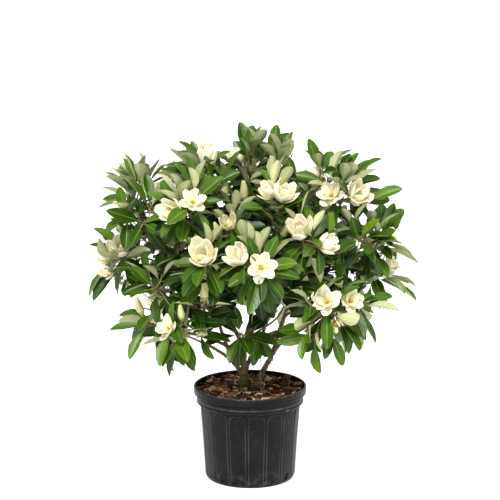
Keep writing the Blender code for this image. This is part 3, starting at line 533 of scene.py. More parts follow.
# Each stem's parent and the share of the way up it, its route above the soil, and its radii at foot and tip
STEMS = {
    "trunk": (
        None,
        ((-15, 12, 0), (-15, 12, 12), (-15, 8, 50), (-18, 4, 96), (-8, 0, 140), (3, 0, 180), (0, 0, 258),
         (-5, 5, 385), (0, 18, 470)),
        (0.0105, 0.0036),
    ),
    "stem_left": (
        ("trunk", 0.06),
        ((-24, 4, 42), (-44, -5, 78), (-60, -16, 122), (-82, -32, 186), (-110, -50, 232), (-128, -80, 302),
         (-142, -120, 390), (-150, -150, 440)),
        (0.0060, 0.0033),
    ),
    "stem_right": (
        None,
        ((13, -2, 0), (13, -2, 10), (30, -6, 44), (56, -12, 94), (70, -18, 141), (84, -24, 190),
         (112, -35, 266), (168, -46, 366), (203, -52, 440)),
        (0.0076, 0.0034),
    ),
    "stem_middle": (
        ("trunk", 0.085),
        ((-3, 22, 66), (12, 32, 90), (28, 33, 122), (38, 22, 158), (52, 0, 196), (64, -22, 228),
         (80, -62, 322), (72, -110, 420)),
        (0.0056, 0.0033),
    ),
    "stem_back_left": (
        ("trunk", 0.125),
        ((-20, 36, 95), (-38, 68, 135), (-78, 112, 210), (-112, 150, 320), (-138, 176, 430)),
        (0.0058, 0.0033),
    ),
    "stem_back_right": (
        ("trunk", 0.17),
        ((-8, 34, 112), (14, 72, 150), (54, 114, 215), (92, 148, 320), (120, 176, 430)),
        (0.0058, 0.0033),
    ),
}


def bearing(degrees_round, degrees_up):
    """The direction at a bearing from +X towards +Y and a rise above level."""
    turn = math.radians(degrees_round)
    rise = math.radians(degrees_up)
    return Vector((math.cos(turn) * math.cos(rise), math.sin(turn) * math.cos(rise), math.sin(rise)))


def real(point):
    """A place in metres from one in millimetres."""
    return Vector(point) * MM


def smooth_route(points, steps):
    """Points on the smooth curve through the given ones (Catmull-Rom), with this many steps a span."""
    route = []
    last = len(points) - 1
    for i in range(last):
        before, start, end, after = (points[min(max(k, 0), last)] for k in (i - 1, i, i + 1, i + 2))
        for step in range(steps):
            t = step / steps
            curve = 2 * start + (end - before) * t
            curve += (2 * before - 5 * start + 4 * end - after) * t**2
            curve += (3 * start - before - 3 * end + after) * t**3
            route.append(0.5 * curve)
    return route + [points[-1].copy()]


class Limb:
    """A tapering limb: the points of its centre line and the radius at each."""

    def __init__(self, points, radii, taper=1.0):
        self.points = points
        self.runs = [0.0]
        for start, end in zip(points, points[1:]):
            self.runs.append(self.runs[-1] + (end - start).length)
        self.length = self.runs[-1]
        thinning = [(1 - run / self.length) ** taper for run in self.runs]
        self.radii = [radii[1] + (radii[0] - radii[1]) * share for share in thinning]

    def at(self, run):
        """The point, direction and radius at a distance from the foot."""
        run = min(max(run, 0.0), self.length)
        i = max(k for k in range(len(self.runs) - 1) if self.runs[k] <= run)
        share = (run - self.runs[i]) / (self.runs[i + 1] - self.runs[i])
        way = self.points[i + 1] - self.points[i]
        point = self.points[i] + way * share
        return point, way.normalized(), self.radii[i] + (self.radii[i + 1] - self.radii[i]) * share

    def past(self, run, margin):
        """The points from a run on to the tip, the next one at least the margin further on."""
        return [self.at(run)[0]] + [point for point, at in zip(self.points, self.runs) if at > run + margin]


def swept(runs, sides):
    """A bmesh of round limbs with closed ends; each run is its points and the radius at each."""
    curve = bpy.data.curves.new("limbs", "CURVE")
    curve.dimensions = "3D"
    curve.use_fill_caps = True
    curve.bevel_depth = 1.0
    curve.bevel_resolution = (sides - 4) // 2
    for points, radii in runs:
        spline = curve.splines.new("POLY")
        spline.points.add(len(points) - 1)
        for node, point, radius in zip(spline.points, points, radii):
            node.co = (*point, 1)
            node.radius = radius
    holder = bpy.data.objects.new("limbs", curve)
    bpy.context.scene.collection.objects.link(holder)
    bpy.context.view_layer.update()
    mesh = bpy.data.meshes.new_from_object(holder.evaluated_get(bpy.context.evaluated_depsgraph_get()))
    bpy.data.objects.remove(holder)
    bm = bmesh.new()
    bm.from_mesh(mesh)
    bpy.data.meshes.remove(mesh)
    bmesh.ops.remove_doubles(bm, verts=bm.verts, dist=1e-6)
    bmesh.ops.recalc_face_normals(bm, faces=bm.faces)
    return bm


def barked(limb, step, parent_radius, seed):
    """A limb's centre line and radii close together, with bud rings, a collar at its foot and a wander."""
    route = Limb(smooth_route(limb.points, 6), (1.0, 1.0))
    rng = random.Random(seed)
    rings = []
    run = rng.uniform(*FIRST_RING)
    while run < route.length:
        rings.append((run, rng.uniform(*RING_SWELL)))
        run += rng.uniform(*RINGS_APART)
    points, radii = [], []
    count = max(3, round(route.length / step))
    for k in range(count + 1):
        run = route.length * k / count
        point = route.at(run)[0]
        radius = limb.at(limb.length * k / count)[2]
        swell = sum(size * math.exp(-((run - place) / RING_SPREAD) ** 2) for place, size in rings)
        past_fork = max(run - parent_radius, 0.0)
        collar = COLLAR_SWELL * math.exp(-past_fork / COLLAR_SPREAD) if parent_radius else 0.0
        fade = min(1.0, run / WANDER_FADE, (route.length - run) / WANDER_FADE)
        wander = noise.noise_vector(point * WANDER_SCALE) * radius * WANDER_SHARE * fade
        points.append(point + wander)
        radii.append(radius * (1 + swell + collar))
    return points, radii


def roughen(bm, lumps, warts):
    """Pushes the skin of a limb out and in by noise, in metres."""
    bm.normal_update()
    for vert in bm.verts:
        spot = vert.co
        push = noise.noise(spot * 95) * lumps + noise.noise(spot * 330) * warts
        push += max(0.0, noise.noise(spot * 190) - 0.32) * warts * 2.4
        vert.co = spot + vert.normal * push


def bark(name, old, moss_top):
    """Grey-brown bark in blotches with pale flecks, and moss from the soil up to a height."""
    material, shader, place = new_finish(name, Specular_IOR_Level=0.3)
    height = place.add("ShaderNodeSeparateXYZ", {}, {"Vector": place}, "Z")
    blotch = grain(place, 75.0, 5.0, 0.6)
    fleck = grain(place, 420.0, 3.0, 0.6)
    tone = mixed(between(blotch, 0.36, 0.64), tuple(value * 0.40 for value in old), old)
    tone = mixed(between(fleck, 0.53, 0.66, 0.0, 0.65), tone, tuple(value * 2.1 for value in old))
    moss = between(height, moss_top, SOIL_LEVEL) * between(grain(place, 60.0, 5.0), 0.36, 0.62)
    tone = mixed(moss, tone, (0.060, 0.078, 0.020))
    feed(shader, "Base Color", tone)
    feed(shader, "Roughness", 0.66 + blotch * 0.24)
    rough_surface(shader, blotch * 0.45 + fleck * 0.55, 0.0016)
    return material


def flare_at(turn, run):
    """How far the roots spread the trunk's foot, round it and up it."""
    lobes = 1 + 0.34 * math.cos(4 * turn + 0.6) + 0.16 * math.cos(7 * turn + 2.0)
    return FLARE_SHARE * lobes * max(0.0, 1 - run / FLARE_HEIGHT) ** 2


# The limbs' soft wander is the same in each run only with a seed of its own
noise.seed_set(WANDER_SEED)
stem_bark = bark("bark_old", (0.205, 0.143, 0.090), 0.330)
limbs = {}
for name, (parent, route, radii) in STEMS.items():
    points = [real(spot) + Vector((0, 0, SOIL_LEVEL + GAP)) for spot in route]
    parent_radius = 0.0
    if parent:
        foot, _, parent_radius = limbs[parent[0]].at(limbs[parent[0]].length * parent[1])
        points.insert(0, foot)
    limb = Limb(points, radii, STEM_TAPER)
    skin = barked(limb, 0.0030, parent_radius, name)
    stem_bm = swept([skin], 18)
    if not parent:
        for i, run in enumerate(limb.runs):
            limb.radii[i] *= 1 + FLARE_SHARE * max(0.0, 1 - run / FLARE_HEIGHT) ** 2
        foot = skin[0][0]
        for vert in stem_bm.verts:
            out = vert.co - foot
            flare = flare_at(math.atan2(out.y, out.x), vert.co.z - foot.z)
            if flare:
                middle = limb.at(vert.co.z - foot.z)[0]
                vert.co.x = middle.x + (vert.co.x - middle.x) * (1 + flare)
                vert.co.y = middle.y + (vert.co.y - middle.y) * (1 + flare)
    limbs[name] = limb
    roughen(stem_bm, 0.0013, 0.0008)
    stem = made(name + "_bark", stem_bm, stem_bark)
    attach(stem, "root")
    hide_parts(name)


# Boughs: each leaves a stem in one bend and ends where it enters its mass of leaves, and from there on it is
# the main shoot of that mass. They are drawn along the same ways as the solids, by the same rule.
LEADER_LENGTH = 0.105
LEADER_RADII = (0.0032, 0.0023)
BOUGH_RADII = (0.0048, 0.0033)
TWIG_RADII = (0.0023, 0.0019)
SHOOT_SPLIT = 0.034
STRAIGHT_FOOT = 0.006
LEAN_STEP = 0.008
LEAN_STEPS = 10
CLEARANCE = 0.0007
LEAN_WAYS = 8
PAST_FOOT = 0.004
CELL = 0.07
# Masses of the crown's front: parent limb and the share of the way up it, the bough, if any, and the shoots,
# main one first: tip in millimetres, facing, flower and its width, number of leaves, seed of their spiral
FRONT_MASSES = {
    "foliage_left_upper": ("stem_left", 0.62, "bough_left_upper", (
        ((-288, -22, 736), (140, 74), "", 0, 13, 19),
        ((-244, -42, 747), (-50, 35), "half", 50, 4, 38),
        ((-317, -50, 703), (205, 20), "cup", 42, 5, 31),
        ((-262, -112, 672), (225, 20), "", 0, 7, 1),
    )),
    "foliage_left_top": ("stem_left", 1.0, "", (
        ((-161, -195, 740), (200, 78), "", 0, 10, 32),
        ((-133, -238, 757), (-80, 35), "open", 66, 4, 34),
        ((-186, -232, 727), (225, 22), "half", 62, 6, 54),
    )),
    "foliage_top_left": ("trunk", 0.66, "bough_top_left", (
        ((-105, -66, 836), (-80, 72), "cup", 52, 12, 58),
        ((-61, -100, 757), (-70, 70), "bud", 22, 4, 30),
        ((-128, -40, 792), (165, 74), "", 0, 8, 57),
    )),
    "foliage_top": ("trunk", 1.0, "", (
        ((-4, 30, 816), (100, 84), "", 0, 14, 45),
        ((-36, 8, 822), (170, 60), "cup", 42, 3, 18),
        ((8, -6, 800), (-60, 80), "bud", 20, 2, 40),
        ((-15, -84, 750), (-100, 75), "bud", 24, 4, 25),
    )),
    "foliage_top_right": ("trunk", 0.74, "bough_top_right", (
        ((64, -30, 822), (15, 74), "", 0, 14, 54),
        ((112, -58, 775), (-30, 45), "", 0, 7, 20),
    )),
    "foliage_right_top": ("stem_right", 1.0, "", (
        ((238, -60, 774), (10, 78), "", 0, 14, 56),
        ((194, -112, 751), (-105, 35), "open", 72, 5, 54),
        ((263, -92, 743), (-55, 30), "half", 62, 6, 17),
        ((157, -40, 784), (120, 60), "half", 48, 6, 3),
    )),
    "foliage_right": ("stem_right", 0.66, "bough_right", (
        ((328, -58, 640), (0, 56), "", 0, 13, 40),
        ((344, -74, 640), (-20, 40), "cup", 36, 3, 24),
        ((262, -118, 640), (-60, 30), "", 0, 7, 18),
    )),
    "foliage_right_middle": ("stem_right", 0.56, "bough_right_middle", (
        ((118, -228, 686), (-115, 50), "half", 62, 9, 1),
        ((184, -240, 652), (-25, 20), "half", 54, 8, 9),
    )),
    "foliage_top_front": ("stem_middle", 1.0, "", (
        ((64, -178, 722), (-95, 70), "", 0, 11, 19),
        ((82, -188, 765), (-60, 50), "half", 58, 3, 59),
        ((44, -190, 770), (-140, 45), "half", 50, 3, 57),
        ((88, -212, 674), (-70, 45), "bud", 22, 3, 14),
    )),
    "foliage_front": ("stem_middle", 0.52, "bough_front", (
        ((28, -330, 614), (-82, 12), "open", 76, 12, 59),
        ((-28, -318, 640), (-130, 40), "half", 58, 5, 4),
    )),
    "foliage_front_left": ("stem_left", 0.44, "bough_front_left", (
        ((-110, -298, 640), (-100, 38), "half", 70, 12, 43),
    )),
    "foliage_left": ("stem_left", 0.36, "bough_left", (
        ((-318, -90, 614), (-100, 45), "half", 58, 9, 47),
        ((-362, -72, 585), (190, 30), "cup", 38, 6, 42),
        ((-352, -104, 552), (-120, 10), "spent", 34, 5, 20),
    )),
    "foliage_left_low": ("bough_left", 0.55, "", (((-238, -148, 522), (235, 12), "", 0, 9, 6),)),
    "foliage_low_left": ("stem_left", 0.10, "bough_low_left", (
        ((-204, -200, 440), (215, 25), "open", 70, 10, 43),
        ((-160, -160, 430), (-60, -10), "", 0, 6, 19),
        ((-166, -196, 474), (-110, 70), "bud", 20, 2, 43),
    )),
    "foliage_far_low_left": ("stem_left", 0.22, "bough_far_low_left", (
        ((-250, -128, 430), (200, 10), "", 0, 12, 38),
        ((-270, -146, 478), (180, 72), "bud", 22, 3, 25),
    )),
    "foliage_low_right": ("stem_right", 0.22, "bough_low_right", (
        ((180, -250, 518), (-105, 32), "open", 76, 10, 49),
        ((206, -236, 452), (-80, -10), "spent", 34, 4, 53),
        ((214, -200, 456), (-70, -34), "", 0, 10, 30),
    )),
    "foliage_far_low_right": ("stem_right", 0.32, "bough_far_low_right", (
        ((244, -222, 512), (-70, 32), "open", 66, 9, 54),
        ((282, -160, 482), (-10, 0), "", 0, 7, 58),
    )),
    "foliage_right_low": ("stem_right", 0.44, "bough_right_low", (
        ((347, -42, 556), (-30, 45), "half", 50, 11, 46),
    )),
    "foliage_left_middle": ("stem_left", 0.5, "", (((-111, -192, 528), (-100, 80), "bud", 26, 8, 1),)),
    "foliage_middle": ("trunk", 0.62, "bough_middle", (
        ((-52, -216, 700), (-110, 45), "spent", 42, 9, 10),
        ((-78, -200, 680), (-150, 65), "bud", 18, 3, 52),
    )),
    "foliage_low_front": ("trunk", 0.22, "", (
        ((-26, -140, 405), (-95, 6), "", 0, 9, 14),
        ((32, -120, 392), (-60, 0), "", 0, 6, 59),
    )),
}

# The crown's far side: height, reach across and back, and number of masses a tier
BACK_TIERS = ((0.435, 0.285, 0.265, 4), (0.575, 0.320, 0.290, 5), (0.715, 0.215, 0.215, 3))
BACK_SPAN = (math.radians(8), math.radians(172))
BACK_LEAVES = 13
BACK_BOUGH_FROM = 0.27
FIRST_FOOT = 0.030
FOOT_APART = 0.026
BELOW_TIP = 0.11
BACK_STAGES = ("open", "half", "bud", "cup", "half", "bud", "open")
BACK_WIDTHS = {"open": 72, "half": 60, "cup": 46, "bud": 22, "spent": 36}
BACK_TOPS = (("stem_back_left", (-14, 20, 96), "half"), ("stem_back_right", (14, 20, 84), "cup"))

# How far a flower is moved aside for its neighbours, and in how many directions that is tried
NUDGE = 0.007
NUDGE_WAYS = 8
# Flower outlines as radius and height shares from the stalk over the rim to the middle, then the number of
# sides, the share by which the petals between are drawn in, and which point of the outline is the rim
FLOWER_SHAPES = {
    "bud": (((0, 0), (0.22, 0.40), (0, 1)), 5, 0.0, 1),
    "cup": (((0, 0), (0.44, 0.40), (0.38, 0.95), (0, 0.5)), 6, 0.16, 2),
    "half": (((0, 0), (0.52, 0.40), (0.62, 0.92), (0, 0.3)), 6, 0.18, 2),
    "open": (((0, 0), (0.30, 0.06), (1.05, 0.62), (0, 0.2)), 9, 0.16, 2),
    "spent": (((0, 0), (0.46, 0.50), (0, 0.9)), 6, 0.22, 1),
}


def bend(foot, way_out, tip, way_in, steps, lean=Vector()):
    """Points along one smooth bend that leaves foot along way_out and reaches tip along way_in."""
    handle = (tip - foot).length * 0.38
    first = foot + way_out * handle + lean
    second = tip - way_in * handle + lean
    route = []
    for step in range(steps + 1):
        t = step / steps
        u = 1 - t
        route.append(u**3 * foot + 3 * u * u * t * first + 3 * u * t * t * second + t**3 * tip)
    return route


def limb_shell(points, radii, sides):
    """Vertices and faces of a closed tube, for tests of clearance."""
    verts, faces = [], []
    side = (points[1] - points[0]).orthogonal().normalized()
    for i, point in enumerate(points):
        way = (points[min(i + 1, len(points) - 1)] - points[max(i - 1, 0)]).normalized()
        side = (side - way * side.dot(way)).normalized()
        across = way.cross(side)
        for k in range(sides):
            turn = math.tau * k / sides
            verts.append(point + (side * math.cos(turn) + across * math.sin(turn)) * radii[i])
            if i:
                low = (i - 1) * sides
                nxt = (k + 1) % sides
                faces.append((low + k, low + nxt, low + sides + nxt, low + sides + k))
    faces.append(tuple(reversed(range(sides))))
    faces.append(tuple(range(len(verts) - sides, len(verts))))
    return verts, faces


def box_of(verts):
    """The lowest and the highest corner round some points."""
    return [min(v[k] for v in verts) for k in range(3)], [max(v[k] for v in verts) for k in range(3)]


class Space:
    """What each mass already fills, kept in cells, so that new growth can be kept clear of the rest."""

    def __init__(self):
        self.cells = {}

    def spread(self, low, high):
        """The cells that a box reaches into, with a millimetre to spare."""
        spans = [
            range(math.floor((low[k] - MM) / CELL), math.floor((high[k] + MM) / CELL) + 1) for k in range(3)
        ]
        return itertools.product(*spans)

    def add(self, owner, verts, faces):
        low, high = box_of(verts)
        piece = (owner, low, high, BVHTree.FromPolygons(verts, faces))
        for cell in self.spread(low, high):
            self.cells.setdefault(cell, []).append(piece)

    def is_free(self, owners, verts, faces):
        """True where a piece touches nothing but what the named owners hold."""
        low, high = box_of(verts)
        if low[2] < SOIL_LEVEL + 0.004:
            return False
        tree = None
        tested = set()
        for cell in self.spread(low, high):
            for piece in self.cells.get(cell, ()):
                other, other_low, other_high, other_tree = piece
                if id(piece) in tested or other in owners:
                    continue
                tested.add(id(piece))
                if any(low[k] > other_high[k] or high[k] < other_low[k] for k in range(3)):
                    continue
                tree = tree or BVHTree.FromPolygons(verts, faces)
                if tree.overlap(other_tree):
                    return False
        return True


def free_bend(space, owner, parent, foot, parent_radius, way_out, tip, way_in, radii, steps):
    """The straightest bend from foot to tip that touches nothing; it leans further aside while it must."""
    across = way_out.cross(tip - foot).normalized()
    over = across.cross((tip - foot).normalized())
    for lean in range(LEAN_STEPS):
        for k in range(LEAN_WAYS if lean else 1):
            turn = math.tau * k / LEAN_WAYS
            aside = (across * math.cos(turn) + over * math.sin(turn)) * lean * LEAN_STEP
            limb = Limb(bend(foot, way_out, tip, way_in, steps, aside), radii)
            start = min(parent_radius * 2.2 + 0.003, limb.length * 0.4) if parent_radius else 0.002
            rest = limb.past(start, 0.001)
            clear_of_others = limb_shell(limb.points, [max(radii) + CLEARANCE] * len(limb.points), 5)
            clear_of_parent = limb_shell(rest, [max(radii) + CLEARANCE] * len(rest), 5)
            if space.is_free((owner, parent), *clear_of_others) and space.is_free((owner,), *clear_of_parent):
                return limb
    return limb


def placed(columns):
    """A matrix from its three axes and its origin."""
    matrix = Matrix.Identity(4)
    for k, column in enumerate(columns):
        for row in range(3):
            matrix[row][k] = column[row]
    return matrix


def shell_of(mesh, matrix=Matrix.Identity(4)):
    """A mesh's vertices, moved by a matrix, and its faces, for tests of clearance."""
    return [matrix @ v.co for v in mesh.vertices], [tuple(p.vertices) for p in mesh.polygons]


def flower_outline(stage):
    """The space that one flower of unit height takes, with its petals as lobes of the rim."""
    profile, sides, drawn_in, rim = FLOWER_SHAPES[stage]
    bm = turned(profile, sides)
    rim_radius, rim_height = profile[rim]
    for vert in bm.verts:
        if abs(math.hypot(vert.co.x, vert.co.y) - rim_radius) < 1e-4 and abs(vert.co.z - rim_height) < 1e-4:
            step = round((math.atan2(vert.co.y, vert.co.x)) / math.tau * sides)
            if step % (3 if sides == 9 else 2):
                vert.co.x *= 1 - drawn_in
                vert.co.y *= 1 - drawn_in
                vert.co.z *= 1 - drawn_in / 2
    return mesh_of("flower_space", bm)


class Mass:
    """One mass of foliage: its shoots, main one first, its new growth, its fine twigs and its flowers.

    A shoot or twig is kept as its limb, number of leaves, seed of their spiral, and kind of growth.
    """

    def __init__(self, name):
        self.name = name
        self.shoots = []
        self.fresh = []
        self.fine = []
        self.flowers = []
        self.own = Space()

    def fill(self, verts, faces):
        for filled in (space, self.own):
            filled.add(self.name, verts, faces)

    def take_twig(self, owners, twig, parent_radius):
        """Fills a twig's space, unless it would touch something past its foot that isn't its owners'."""
        rest = twig.past(parent_radius + PAST_FOOT, 0.002)
        shell = limb_shell(rest, [twig.radii[0] + CLEARANCE] * len(rest), 5)
        is_free = space.is_free(owners, *shell) and self.own.is_free((), *shell)
        if is_free:
            self.fill(*limb_shell(twig.points, twig.radii, 3))
        return is_free


def flower_seat(name, centre, way, stage, width):
    """Where a shoot ends under its flower, moved aside a little where the flower would touch another mass."""
    side = way.orthogonal().normalized()
    over = way.cross(side)
    height = width * MM / 2 / max(radius for radius, _ in FLOWER_SHAPES[stage][0])
    for nudge in range(2 * NUDGE_WAYS + 1):
        turn = math.tau * nudge / NUDGE_WAYS
        aside = (side * math.cos(turn) + over * math.sin(turn)) * NUDGE * math.ceil(nudge / NUDGE_WAYS)
        seat = real(centre) + aside - way * height * 0.45
        wider = placed((side * height * 1.05, over * height * 1.05, way * height * 1.05, seat - way * 0.004))
        if space.is_free((name,), *shell_of(outlines[stage], wider)):
            break
    return seat, placed((side * height, over * height, way * height, seat - way * 0.003))


def set_flower(mass, centre, way, stage, width):
    """Gives a mass its flower and returns where the shoot ends under it."""
    if not stage:
        return real(centre)
    tip, matrix = flower_seat(mass.name, centre, way, stage, width)
    mass.flowers.append((stage, matrix))
    mass.fill(*shell_of(outlines[stage], matrix))
    return tip


def back_masses():
    """Masses on the far side, spread evenly round each tier and hung on the nearest stem."""
    masses = {}
    feet = {"stem_back_left": [0.0], "stem_back_right": [0.0]}
    rng = random.Random("far side")
    for tier, (height, across, back, count) in enumerate(BACK_TIERS):
        for k in range(count):
            number = len(masses) + 1
            turn = BACK_SPAN[0] + (BACK_SPAN[1] - BACK_SPAN[0]) * (k + 0.5) / count + rng.uniform(-0.08, 0.08)
            tip = Vector((across * math.cos(turn), back * math.sin(turn), height + rng.uniform(-0.02, 0.02)))
            nearest = "stem_back_right" if tip.x > 0 else "stem_back_left"
            limb = limbs[nearest]
            foot = FIRST_FOOT
            while foot < limb.length - FIRST_FOOT and (
                limb.at(foot)[0].z < tip.z - BELOW_TIP
                or min(abs(foot - used) for used in feet[nearest]) < FOOT_APART
            ):
                foot += 0.004
            feet[nearest].append(foot)
            facing = (math.degrees(turn) + rng.uniform(-20, 20), 30 + 18 * tier)
            bough = f"bough_back_{number:02d}" if (tip - limb.at(foot)[0]).length > BACK_BOUGH_FROM else ""
            stage = BACK_STAGES[number % len(BACK_STAGES)]
            shoot = (tuple(tip / MM), facing, stage, BACK_WIDTHS[stage], BACK_LEAVES, 0)
            masses[f"foliage_back_{number:02d}"] = (nearest, foot / limb.length, bough, (shoot,))
    for number, (stem, offset, stage) in enumerate(BACK_TOPS, 1):
        tip = limbs[stem].points[-1] / MM + Vector(offset)
        shoot = (tuple(tip), (90, 74), stage, BACK_WIDTHS[stage], BACK_LEAVES, 0)
        masses[f"foliage_back_top_{number}"] = (stem, 1.0, "", (shoot,))
    return masses


def split_limb(limb, bough_radii):
    """Parts a limb into a bough and the main shoot of its mass, which meet face to face a gap apart."""
    run = limb.length - LEADER_LENGTH
    point, way, _ = limb.at(run)
    lower = [p for p, at in zip(limb.points, limb.runs) if at < run - 2 * STRAIGHT_FOOT]
    lower += [point - way * STRAIGHT_FOOT, point]
    upper = [point + way * GAP, point + way * STRAIGHT_FOOT]
    upper += [p for p, at in zip(limb.points, limb.runs) if at > run + 2.4 * STRAIGHT_FOOT]
    return Limb(lower, bough_radii), Limb(upper, LEADER_RADII)


def start_mass(name, row):
    """Grows a mass's bough, if it needs one, and its main shoot."""
    parent, share, bough, shoots = row
    centre, facing, stage, width, leaves, spiral = shoots[0]
    mass = Mass(name)
    way_in = bearing(*facing)
    tip = set_flower(mass, centre, way_in, stage, width)
    parent_limb = limbs[parent]
    foot, parent_way, parent_radius = parent_limb.at(parent_limb.length * share)
    if share >= 1:
        start = foot + parent_way * STRAIGHT_FOOT
        limb = free_bend(space, name, parent, start, 0.0, parent_way, tip, way_in, LEADER_RADII, 4)
        limb = Limb([foot + parent_way * GAP] + limb.points, LEADER_RADII)
    else:
        way_out = (parent_way * 0.5 + (tip - foot).normalized()).normalized()
        radii = (BOUGH_RADII[0], LEADER_RADII[1]) if bough else LEADER_RADII
        steps = 7 if bough else 5
        limb = free_bend(space, name, parent, foot, parent_radius, way_out, tip, way_in, radii, steps)
    if bough:
        lower, limb = split_limb(limb, (min(BOUGH_RADII[0], parent_radius * 0.8), BOUGH_RADII[1]))
        limbs[bough] = lower
        bough_feet[bough] = parent_radius
        space.add(bough, *shell_of(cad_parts[bough].data))
    mass.fill(*limb_shell(limb.points, limb.radii, 3))
    growth = "flowering" if stage else "vegetative"
    mass.shoots.append((Limb(limb.points, LEADER_RADII), leaves, spiral, growth))
    return mass


def grow_shoot(mass, row):
    """A side shoot from the main one, with its flower if it has one."""
    centre, facing, stage, width, leaves, spiral = row
    way = bearing(*facing)
    tip = set_flower(mass, centre, way, stage, width)
    leader = mass.shoots[0][0]
    away = min(SHOOT_SPLIT, leader.length * 0.4) if stage else leader.length * 0.5
    start, leader_way, _ = leader.at(leader.length - away)
    limb = free_bend(space, mass.name, "", start, 0.0, leader_way, tip, way, TWIG_RADII, 3)
    mass.fill(*limb_shell(limb.points, limb.radii, 3))
    mass.shoots.append((limb, leaves, spiral, "flowering" if stage else "vegetative"))


space = Space()
for name in STEMS:
    space.add(name, *shell_of(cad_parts[name].data))
outlines = {stage: flower_outline(stage) for stage in FLOWER_SHAPES}
bough_feet = {}
rows = FRONT_MASSES | back_masses()
masses = {name: start_mass(name, row) for name, row in rows.items()}
for name, mass in masses.items():
    for row in rows[name][3][1:]:
        grow_shoot(mass, row)
set_shoots = {name: len(mass.shoots) for name, mass in masses.items()}

bough_runs = [barked(limbs[bough], 0.0032, foot, bough) for bough, foot in bough_feet.items()]
boughs_bm = swept(bough_runs, 14)
roughen(boughs_bm, 0.0007, 0.0004)
boughs = made("boughs_bark", boughs_bm, bark("bark_boughs", (0.190, 0.138, 0.080), 0.300))
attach(boughs, "root")
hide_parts(*bough_feet)


# New growth: a short twig of the same year beside each upper shoot's tip, which leaves it on the side
# towards the crown's middle and turns straight up. Some leafy side shoots come later in the year too.
FRESH_RANGE = (0.500, 0.795)
FRESH_BELOW_TIP = 0.016
FRESH_LENGTHS = (0.032, 0.050)
FRESH_ASIDE = 0.014
FRESH_RADII = (0.0019, 0.0014)
FRESH_TURNS = (0, 50, -50, 100, -100, 150, -150)
FRESH_LEAVES = (5, 6, 7)
UPRIGHT = 0.85
# Leafy side shoots that the solids leave out: tip in millimetres, facing, number of leaves, and spiral's seed
LATE_SHOOTS = {
    "foliage_low_right": (
        ((134, -226, 438), (-120, -40), 8, 3),
        ((196, -216, 424), (-80, -48), 8, 4),
        ((152, -222, 412), (-105, -50), 6, 41),
    ),
    "foliage_low_left": (((-142, -190, 440), (-60, -44), 8, 5), ((-188, -180, 446), (-110, -35), 7, 9)),
    "foliage_far_low_left": (((-262, -150, 474), (-150, -15), 6, 2), ((-258, -150, 426), (-130, -40), 5, 52)),
    "foliage_right_top": (((290, -84, 722), (-30, 10), 4, 44),),
    "foliage_top": (((36, -14, 830), (60, 84), 9, 8), ((4, -26, 836), (-80, 86), 9, 31)),
    "foliage_top_left": (((-112, -70, 824), (100, 84), 7, 12),),
    "foliage_left_upper": (((-270, -60, 776), (120, 80), 6, 6),),
    "foliage_left_middle": (((-118, -176, 424), (-110, -60), 7, 22), ((-126, -184, 408), (-90, -50), 6, 25)),
    "foliage_top_right": (((84, -24, 806), (60, 80), 8, 15), ((66, -60, 824), (-90, 84), 8, 27)),
}


def fresh_twig(foot, way, side, length):
    """A twig that leaves a shoot aside and turns straight up."""
    rise = (Vector((0, 0, 1)) + side * 0.15).normalized()
    out = (way * 0.4 + side * 0.7 + Vector((0, 0, 0.4))).normalized()
    tip = foot + side * FRESH_ASIDE + rise * length
    return Limb(bend(foot, out, tip, rise, 4), FRESH_RADII)


def stands_up(limb):
    """True where a limb's tip points almost straight up."""
    return limb.at(limb.length)[1].z > UPRIGHT


def new_growth(mass):
    """Gives each upper shoot that can still take one a new twig, on the first side where it is free."""
    rng = random.Random("new growth " + mass.name)
    for number, (limb, _, _, growth) in enumerate(mass.shoots):
        tip = limb.points[-1]
        length = rng.uniform(*FRESH_LENGTHS)
        is_full = growth == "vegetative" and stands_up(limb)
        if is_full or not FRESH_RANGE[0] < tip.z < FRESH_RANGE[1]:
            continue
        foot, way, parent_radius = limb.at(limb.length - FRESH_BELOW_TIP)
        inward = Vector((-tip.x, -tip.y, 0)).normalized()
        for turn in FRESH_TURNS:
            side = Matrix.Rotation(math.radians(turn), 3, "Z") @ inward
            twig = fresh_twig(foot, way, side, length)
            if mass.take_twig((mass.name,), twig, parent_radius):
                mass.fresh.append((twig, rng.choice(FRESH_LEAVES), number, "young"))
                break


for mass in masses.values():
    new_growth(mass)
for name, late_rows in LATE_SHOOTS.items():
    for tip, facing, leaf_count, spiral in late_rows:
        grow_shoot(masses[name], (tip, facing, "", 0, leaf_count, spiral))


# Leaves: oblong, leathery, folded along a pale midrib, glossy green above and silvery sage below. They stand
# in a spiral down the last 55 mm of each shoot, and each hangs on a short stalk let into the twig.
LEAF_LENGTH = 0.118
LEAF_WIDTH = 0.040
CLEAR_THICKNESS_SHARE = 0.045
LEAF_FOLD = 0.05
BLADE_FOLD = 0.105
LEAF_DROOP = 0.12
REACH = 0.155
ROOT_SINK = 0.0007
ROOT_ZONE = 0.009
GOLDEN_ANGLE = math.radians(137.508)
BEARING_STRETCH = (0.003, 0.052)
FINE_STRETCH = 0.022
LOW_LEAVES = (0.400, 0.300)
LOW_ASIDE = (0.17, 0.11)
LOW_SHRINK = 0.34
CROWN = ((0.0, -0.02, 0.570), (0.400, 0.350, 0.330))
CROWN_SKIN = (1.04, 0.86)
INNER_SHRINK = 0.25
INNER_HEIGHTS = (0.40, 0.46)
SHORTER = 0.95
FULL_GROWN_SHARE = 0.75
LATE_SIZE = 0.92
YOUNG_RISE = 0.30
YOUNG_LOWEST = 0.520
YOUNG_LEAVES = {"vegetative": 5, "flowering": 3}
YOUNG_SIZE = 0.82
YOUNG_STRETCH = 0.020
YOUNG_TWIST = 2.3
# What is added to a shoot's number in its mass, so that no two sprays of leaves share one
FINE_SPRAYS = 100
TUFT_SPRAYS = 200
FRESH_SPRAYS = 300
SPROUT_SPRAY = 400
